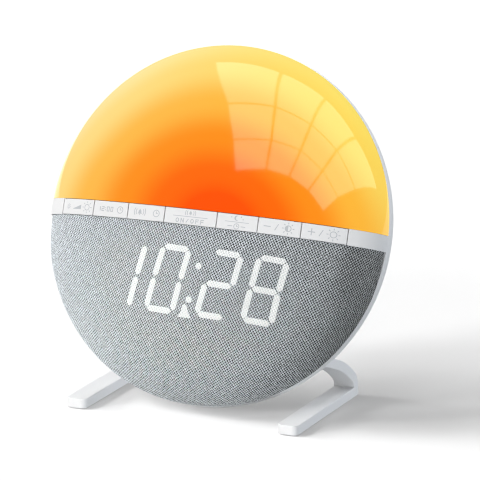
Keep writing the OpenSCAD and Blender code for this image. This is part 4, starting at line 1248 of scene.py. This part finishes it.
# ---------------------------------------------------------------- legs and their pads
def leg_outline():
    end, r1, r2 = math.radians(37.5), 73.0, 10.8
    row = lambda u, n: np.array([RIM_Y + u * SIN - n * COS, RIM_Z + u * COS + n * SIN])
    pa = row(LEG_U1, -23.2)
    c1 = pa - r1 * np.array([SIN, COS])
    pb = c1 + r1 * np.array([math.sin(end), math.cos(end)])
    c2 = pb - r2 * np.array([math.sin(end), math.cos(end)])
    arc = lambda c, r, a0, a1, m: [c + r * np.array([math.sin(a0 + (a1 - a0) * i / m), math.cos(a0 + (a1 - a0) * i / m)]) for i in range(m + 1)]
    back, fore, top = c2[0] + r2, RIM_Y - 41.8, 4.8
    pts = [row(LEG_U1, -5.6)] + arc(c1, r1, LEAN, end, 14) + arc(c2, r2, end, math.pi / 2, 20)[1:]
    pts += [np.array(p) for p in ((back, 1.3), (back - 0.07, 1.0), (back - 0.25, 0.68), (back - 0.52, 0.47), (back - 0.85, 0.4))]
    pts += [np.array((fore, 0.4)), np.array((fore, top))]
    pts.append(np.array([back - LEG_T - 0.5, top]))
    pts += [p for p in arc(c2, r2 - LEG_T, end, math.pi / 2, 20)[::-1] if p[1] > top + 0.4]
    pts += arc(c1, r1 - LEG_T, LEAN, end, 14)[::-1][1:]
    pts.append(row(LEG_U1 - LEG_T, -5.6))
    return pts


def make_leg(name, side):
    pts = leg_outline()
    m = len(pts)
    x0, x1 = side * LEG_X - LEG_W / 2, side * LEG_X + LEG_W / 2
    v = [(x0, p[0], p[1]) for p in pts] + [(x1, p[0], p[1]) for p in pts]
    f = [list(range(m))[::-1], list(range(m, 2 * m))] + [(i, (i + 1) % m, m + (i + 1) % m, m + i) for i in range(m)]
    leg = solid(name + "_moulding", (v, f))
    fore, back, turn = RIM_Y - 41.8, 28.971, 2.8
    # the front end is round at its two upright corners
    corners = []
    for x, way in ((x0, 1), (x1, -1)):
        plan = [(x - way, fore - 1), (x + way * turn, fore - 1)]
        plan += [(x + way * turn * (1 - math.sin(math.radians(a))), fore + turn * (1 - math.cos(math.radians(a)))) for a in range(0, 91, 9)]
        plan += [(x - way, fore + turn)]
        n = len(plan)
        if way < 0:
            plan = plan[::-1]
        cv = [(a, b, -1) for a, b in plan] + [(a, b, 7) for a, b in plan]
        cf = [list(range(n))[::-1], list(range(n, 2 * n))] + [(i, (i + 1) % n, n + (i + 1) % n, n + i) for i in range(n)]
        corners.append((cv, cf))
    boolean(leg, solid("part", *corners), "DIFFERENCE")
    bevel(leg, 0.5, 4, 55)
    pads = [block(side * LEG_X - 3.6, side * LEG_X + 3.6, y - 0.1, y + 12.1, -1, 1.2) for y in (fore + 3, back - 17)]
    boolean(leg, solid("part", *pads), "DIFFERENCE")
    piece(leg, "housing", [name], [white_leg], place=Matrix.Identity(4))


make_leg("left_leg", -1)
make_leg("right_leg", 1)


def make_pads():
    fore, back = RIM_Y - 41.8, 28.971
    parts = []
    for s in (-1, 1):
        for y in (fore + 3, back - 17):
            parts.append(extrude(round_rect(s * LEG_X - 3.5, s * LEG_X + 3.5, y, y + 12, 1.2), 0, 1.2))
    pads = solid("leg_pads_rubber", *parts)
    bevel(pads, 0.15, 2, 60)
    piece(pads, "housing", ["leg_pads"], [pad_rubber], place=Matrix.Identity(4))


make_pads()


# ---------------------------------------------------------------- inlet
def make_jack():
    bore = [(3.9, FLAT_N + 0.75), (3.75, FLAT_N + 0.6), (3.0, FLAT_N + 0.6), (2.85, FLAT_N + 0.75), (2.85, FLAT_N + 8.6), (0, FLAT_N + 8.6)]
    shell = [(0, -13.0)] + [(3.9, -13.0)] + bore
    body = solid("power_jack_socket", turned(JACK_X, JACK_U, shell, 64))
    case = solid("part", block(JACK_X - 4.6, JACK_X + 4.6, JACK_U - 5, JACK_U + 5, IN_FLAT_N + 0.4, -13.0))
    boolean(case, solid("part", cylinder(JACK_X, JACK_U, 3.2, -30, -10, 48)), "DIFFERENCE")
    boolean(body, case, "UNION")
    body.data.materials.append(black_plastic)
    body.data.materials.append(switch_steel)
    pin = solid("part", turned(JACK_X, JACK_U, [(0, FLAT_N + 8.7), (1, FLAT_N + 8.7), (1, FLAT_N + 1.9), (0.8, FLAT_N + 1.65), (0, FLAT_N + 1.6)], 32))
    pin.data.materials.append(black_plastic)
    pin.data.materials.append(switch_steel)
    for p in pin.data.polygons:
        p.material_index = 1
    boolean(body, pin, "UNION")
    piece(body, "housing", ["power_jack"], [])


make_jack()

# ---------------------------------------------------------------- inner pieces keep their CAD shape
INNER = {
    "grille_panel": grey_plastic,
    "button_board": board_green,
    "tact_switches": switch_steel,
    "display_board": board_green,
    "display_leds": led_glow,
    "display_light_box": white_inner,
    "display_film": display_film,
    "lamp_board": board_white,
    "lamp_leds": led_glow,
    "lamp_reflector": white_inner,
    "main_board": board_green,
    "main_chips": black_plastic,
    "coin_cell": cell_steel,
    "cell_contacts": spring_brass,
    "cell_door_screw": screw_steel,
    "speaker_basket": basket_steel,
    "speaker_cone": cone_paper,
    "speaker_surround": surround_rubber,
    "speaker_magnet": ferrite,
    "speaker_gasket": foam_black,
    "speaker_screws": screw_steel,
    "lamp_lead": lead_red,
    "display_lead": lead_white,
    "key_lead": lead_blue,
    "speaker_lead": lead_black,
    "cell_lead": lead_red,
    "lead_connectors": connector_plastic,
    "leg_screws": screw_steel,
    "housing_screws": screw_steel,
    "board_screws": screw_steel,
}
INNER.update({k + "_plunger": black_plastic for k in KEYS})
for node_name, material in INNER.items():
    for slot in nodes[node_name].material_slots:
        slot.material = material


# ---------------------------------------------------------------- stage and light
def glow_material(name, colour, strength):
    m = Nodes(name)
    m.tree.nodes.remove(m.bsdf)
    glow = m.node("Emission")
    glow.inputs["Color"].default_value = colour
    glow.inputs["Strength"].default_value = strength
    m.link(glow.outputs[0], m.out.inputs["Surface"])
    return m.material


def make_stage():
    size = 14.0
    floor = new_object("floor", [(-size, -size, 0), (size, -size, 0), (size, size, 0), (-size, size, 0)], [(0, 1, 2, 3)])
    m = Nodes("floor_pale")
    m.put(m.mix(m.span(m.noise(3.0, 1.0), 0.3, 0.7, 0, 1), (0.396, 0.396, 0.396, 1), (0.404, 0.404, 0.404, 1)), m.bsdf.inputs["Base Color"])
    m.set(Roughness=1.0, Specular_IOR_Level=0.0, Emission_Color=(1, 1, 1, 1), Emission_Strength=0.298)
    floor.data.materials.append(m.material)
    floor.visible_diffuse = floor.visible_shadow = False
    return floor


def sun(name, from_az, elevation, irradiance, spread, colour=(1, 1, 1)):
    """Parallel light from a compass direction (degrees from +X towards +Y), as the white it would make of a level floor."""
    a, e = math.radians(from_az), math.radians(elevation)
    way = Vector((math.cos(a) * math.cos(e), math.sin(a) * math.cos(e), math.sin(e)))
    data = bpy.data.lights.new(name, "SUN")
    data.energy = irradiance * math.pi
    data.angle = math.radians(spread)
    data.color = colour
    obj = bpy.data.objects.new(name, data)
    bpy.context.scene.collection.objects.link(obj)
    obj.location = way * 2
    obj.rotation_mode = "QUATERNION"
    obj.rotation_quaternion = (-way).to_track_quat("-Z", "Y")
    obj.visible_glossy = False
    return obj


def make_window(glow):
    """Twelve lit panes high on the left, seen only as a reflection in the lamp's cover."""
    spots = [
        [(-5.3, 69.8), (25.4, 67.9), (46.6, 58.7), (62.3, 43.5), (74.5, 22.4)],
        [(7.1, 51.2), (28.0, 52.1), (44.7, 46.2), (57.3, 36.5), (67.5, 20.7)],
        [(13.6, 35.5), (30.1, 37.1), (43.3, 34.3), (53.8, 26.6), (61.8, 16.2)],
        [(17.3, 22.2), (30.6, 24.3), (40.9, 22.5), (49.8, 17.5), (57.1, 9.6)],
    ]
    eye = bpy.context.scene.camera.location
    turn = DISC.to_3x3()
    far = 2.2
    at = []
    for line in spots:
        out = []
        for x, u in line:
            n = float(dome_n(R, DOME, x, u))
            place = (DISC @ Vector((x, u, n))) * 0.001
            normal = (turn @ Vector((x / R**2, u / R**2, n / DOME**2))).normalized()
            look = (place - eye).normalized()
            out.append(place + (look - normal * (2 * look.dot(normal))) * far)
        at.append(out)

    def where(i, j):
        i0, j0 = min(3, int(i)), min(2, int(j))
        s, t = i - i0, j - j0
        top = at[j0][i0].lerp(at[j0][i0 + 1], s)
        low = at[j0 + 1][i0].lerp(at[j0 + 1][i0 + 1], s)
        return top.lerp(low, t)

    verts, faces = [], []
    steps = 4
    for j in range(3):
        for i in range(4):
            a0, a1 = i + (0.035 if i else 0.0), i + 1 - (0.035 if i < 3 else 0.0)
            b0, b1 = j + (0.016 if j else 0.0), j + 1 - (0.016 if j < 2 else 0.0)
            base = len(verts)
            for q in range(steps + 1):
                for p in range(steps + 1):
                    verts.append(where(a0 + (a1 - a0) * p / steps, b0 + (b1 - b0) * q / steps))
            for q in range(steps):
                for p in range(steps):
                    k = base + q * (steps + 1) + p
                    faces.append((k, k + 1, k + steps + 2, k + steps + 1))
    panes = new_object("window_panes", verts, faces)
    panes.data.materials.append(glow_material("window_light", (1.0, 0.94, 0.72, 1), glow))
    panes.visible_camera = panes.visible_diffuse = panes.visible_shadow = panes.visible_transmission = False


# Name, compass direction it comes from, height, strength, spread, and whether it is a little cool.
OBJECT_LIGHTS = [
    ("key_light", 212, 53, 0.235, 24, 0),
    ("front_light", 240, 25, 0.715, 40, 0),
    ("right_front_light", 302, 26, 0.025, 40, 0),
    ("back_light", 60, 30, 0.441, 40, 1),
    ("top_light", 0, 88, 0.175, 40, 0),
    ("left_back_light", 150, 30, 0.373, 40, 0),
    ("high_back_light", 90, 50, 0.243, 40, 1),
    ("low_front_light", 270, -30, 0.215, 40, 0),
    ("right_light", 0, 3, 0.100, 40, 1),
    ("low_right_light", 341, -20, 0.390, 40, 1),
]
# A harder light and a low one for the legs, under the overhang of the disc.
LEG_LIGHTS = [
    ("leg_key_light", 230, 25, 0.090, 3),
    ("leg_front_light", 262, 3, 0.165, 20),
]
CLOTH_LIGHTS = [
    ("cloth_key_light", 212, 53, 0.42, 24, 0),
    ("cloth_left_light", 200, 20, 0.28, 30, 0),
    ("cloth_front_light", 300, 30, 0.43, 40, 0),
    ("cloth_low_left_light", 210, -30, 1.07, 30, 0),
    ("cloth_low_front_light", 270, -30, 0.17, 40, 0),
]
# Compass direction it goes, height, share of the floor's light, spread.
FLOOR_LIGHTS = [
    (5, 14, 0.050, 14),
    (11, 15, 0.046, 16),
    (19, 16, 0.042, 18),
    (50, 10, 0.108, 10),
    (40, 42, 0.063, 10),
    (20, 42, 0.058, 10),
    (10, 42, 0.056, 10),
    (30, 33, 0.050, 20),
    (20, 33, 0.037, 12),
    (10, 19, 0.037, 12),
    (-20, 66, 0.032, 10),
    (80, 33, 0.029, 12),
    (100, 53, 0.027, 20),
    (30, 42, 0.025, 12),
    (0, 66, 0.025, 12),
    (90, 33, 0.025, 12),
    (40, 33, 0.016, 12),
]


def make_light(floor):
    scene = bpy.context.scene
    scene.view_settings.view_transform = "Standard"
    scene.view_settings.look = "None"
    scene.cycles.filter_width = 1.2
    world = bpy.data.worlds.new("studio")
    scene.world = world
    world.use_nodes = True
    sky = world.node_tree.nodes["Background"]
    sky.inputs["Color"].default_value = (1.0, 1.0, 1.0, 1)
    sky.inputs["Strength"].default_value = 0.95
    seen = world.cycles_visibility
    seen.diffuse = seen.glossy = seen.transmission = seen.scatter = False
    # the object's own light: a soft key from the left and front, and softer fill all round it;
    # the cloth, whose threads shade each other, keeps to the lights on its left
    fabric = bpy.data.objects["fabric_cover_cloth"]
    others = bpy.data.collections.new("all_but_floor_and_cloth")
    for k, obj in enumerate((floor, fabric)):
        others.objects.link(obj)
        others.collection_objects[k].light_linking.link_state = "EXCLUDE"
    plain, cool = (1.0, 1.0, 1.0), (0.93, 0.98, 1.04)
    for name, az, el, irradiance, spread, colour in OBJECT_LIGHTS:
        lamp = sun(name, az, el, irradiance, spread, cool if colour else plain)
        lamp.light_linking.receiver_collection = others
    legs_only = bpy.data.collections.new("the_legs")
    for side in ("left_leg", "right_leg"):
        legs_only.objects.link(bpy.data.objects[side + "_moulding"])
    for name, az, el, irradiance, spread in LEG_LIGHTS:
        sun(name, az, el, irradiance, spread, plain).light_linking.receiver_collection = legs_only
    # what the white floor under the disc gives back to the left leg
    left_only = bpy.data.collections.new("the_left_leg")
    left_only.objects.link(bpy.data.objects["left_leg_moulding"])
    lamp = sun("leg_return_light", 345, 8, 0.09, 20, plain)
    lamp.light_linking.receiver_collection = left_only
    lamp.light_linking.blocker_collection = left_only
    weave_only = bpy.data.collections.new("the_cloth")
    weave_only.objects.link(fabric)
    for name, az, el, irradiance, spread, colour in CLOTH_LIGHTS:
        lamp = sun(name, az, el, irradiance, spread, cool if colour else plain)
        lamp.light_linking.receiver_collection = weave_only
        if el < 0:  # what the floor gives back, which the thin legs don't shade
            lamp.light_linking.blocker_collection = weave_only
    # the floor's low, wide light from the left
    only = bpy.data.collections.new("the_floor")
    only.objects.link(floor)
    for k, (way, el, share, spread) in enumerate(FLOOR_LIGHTS):
        lamp = sun(f"floor_light_{k + 1}", 180 + way, el, share / 0.4 / math.sin(math.radians(el)), spread)
        lamp.light_linking.receiver_collection = only


make_window(3.7)
make_light(make_stage())
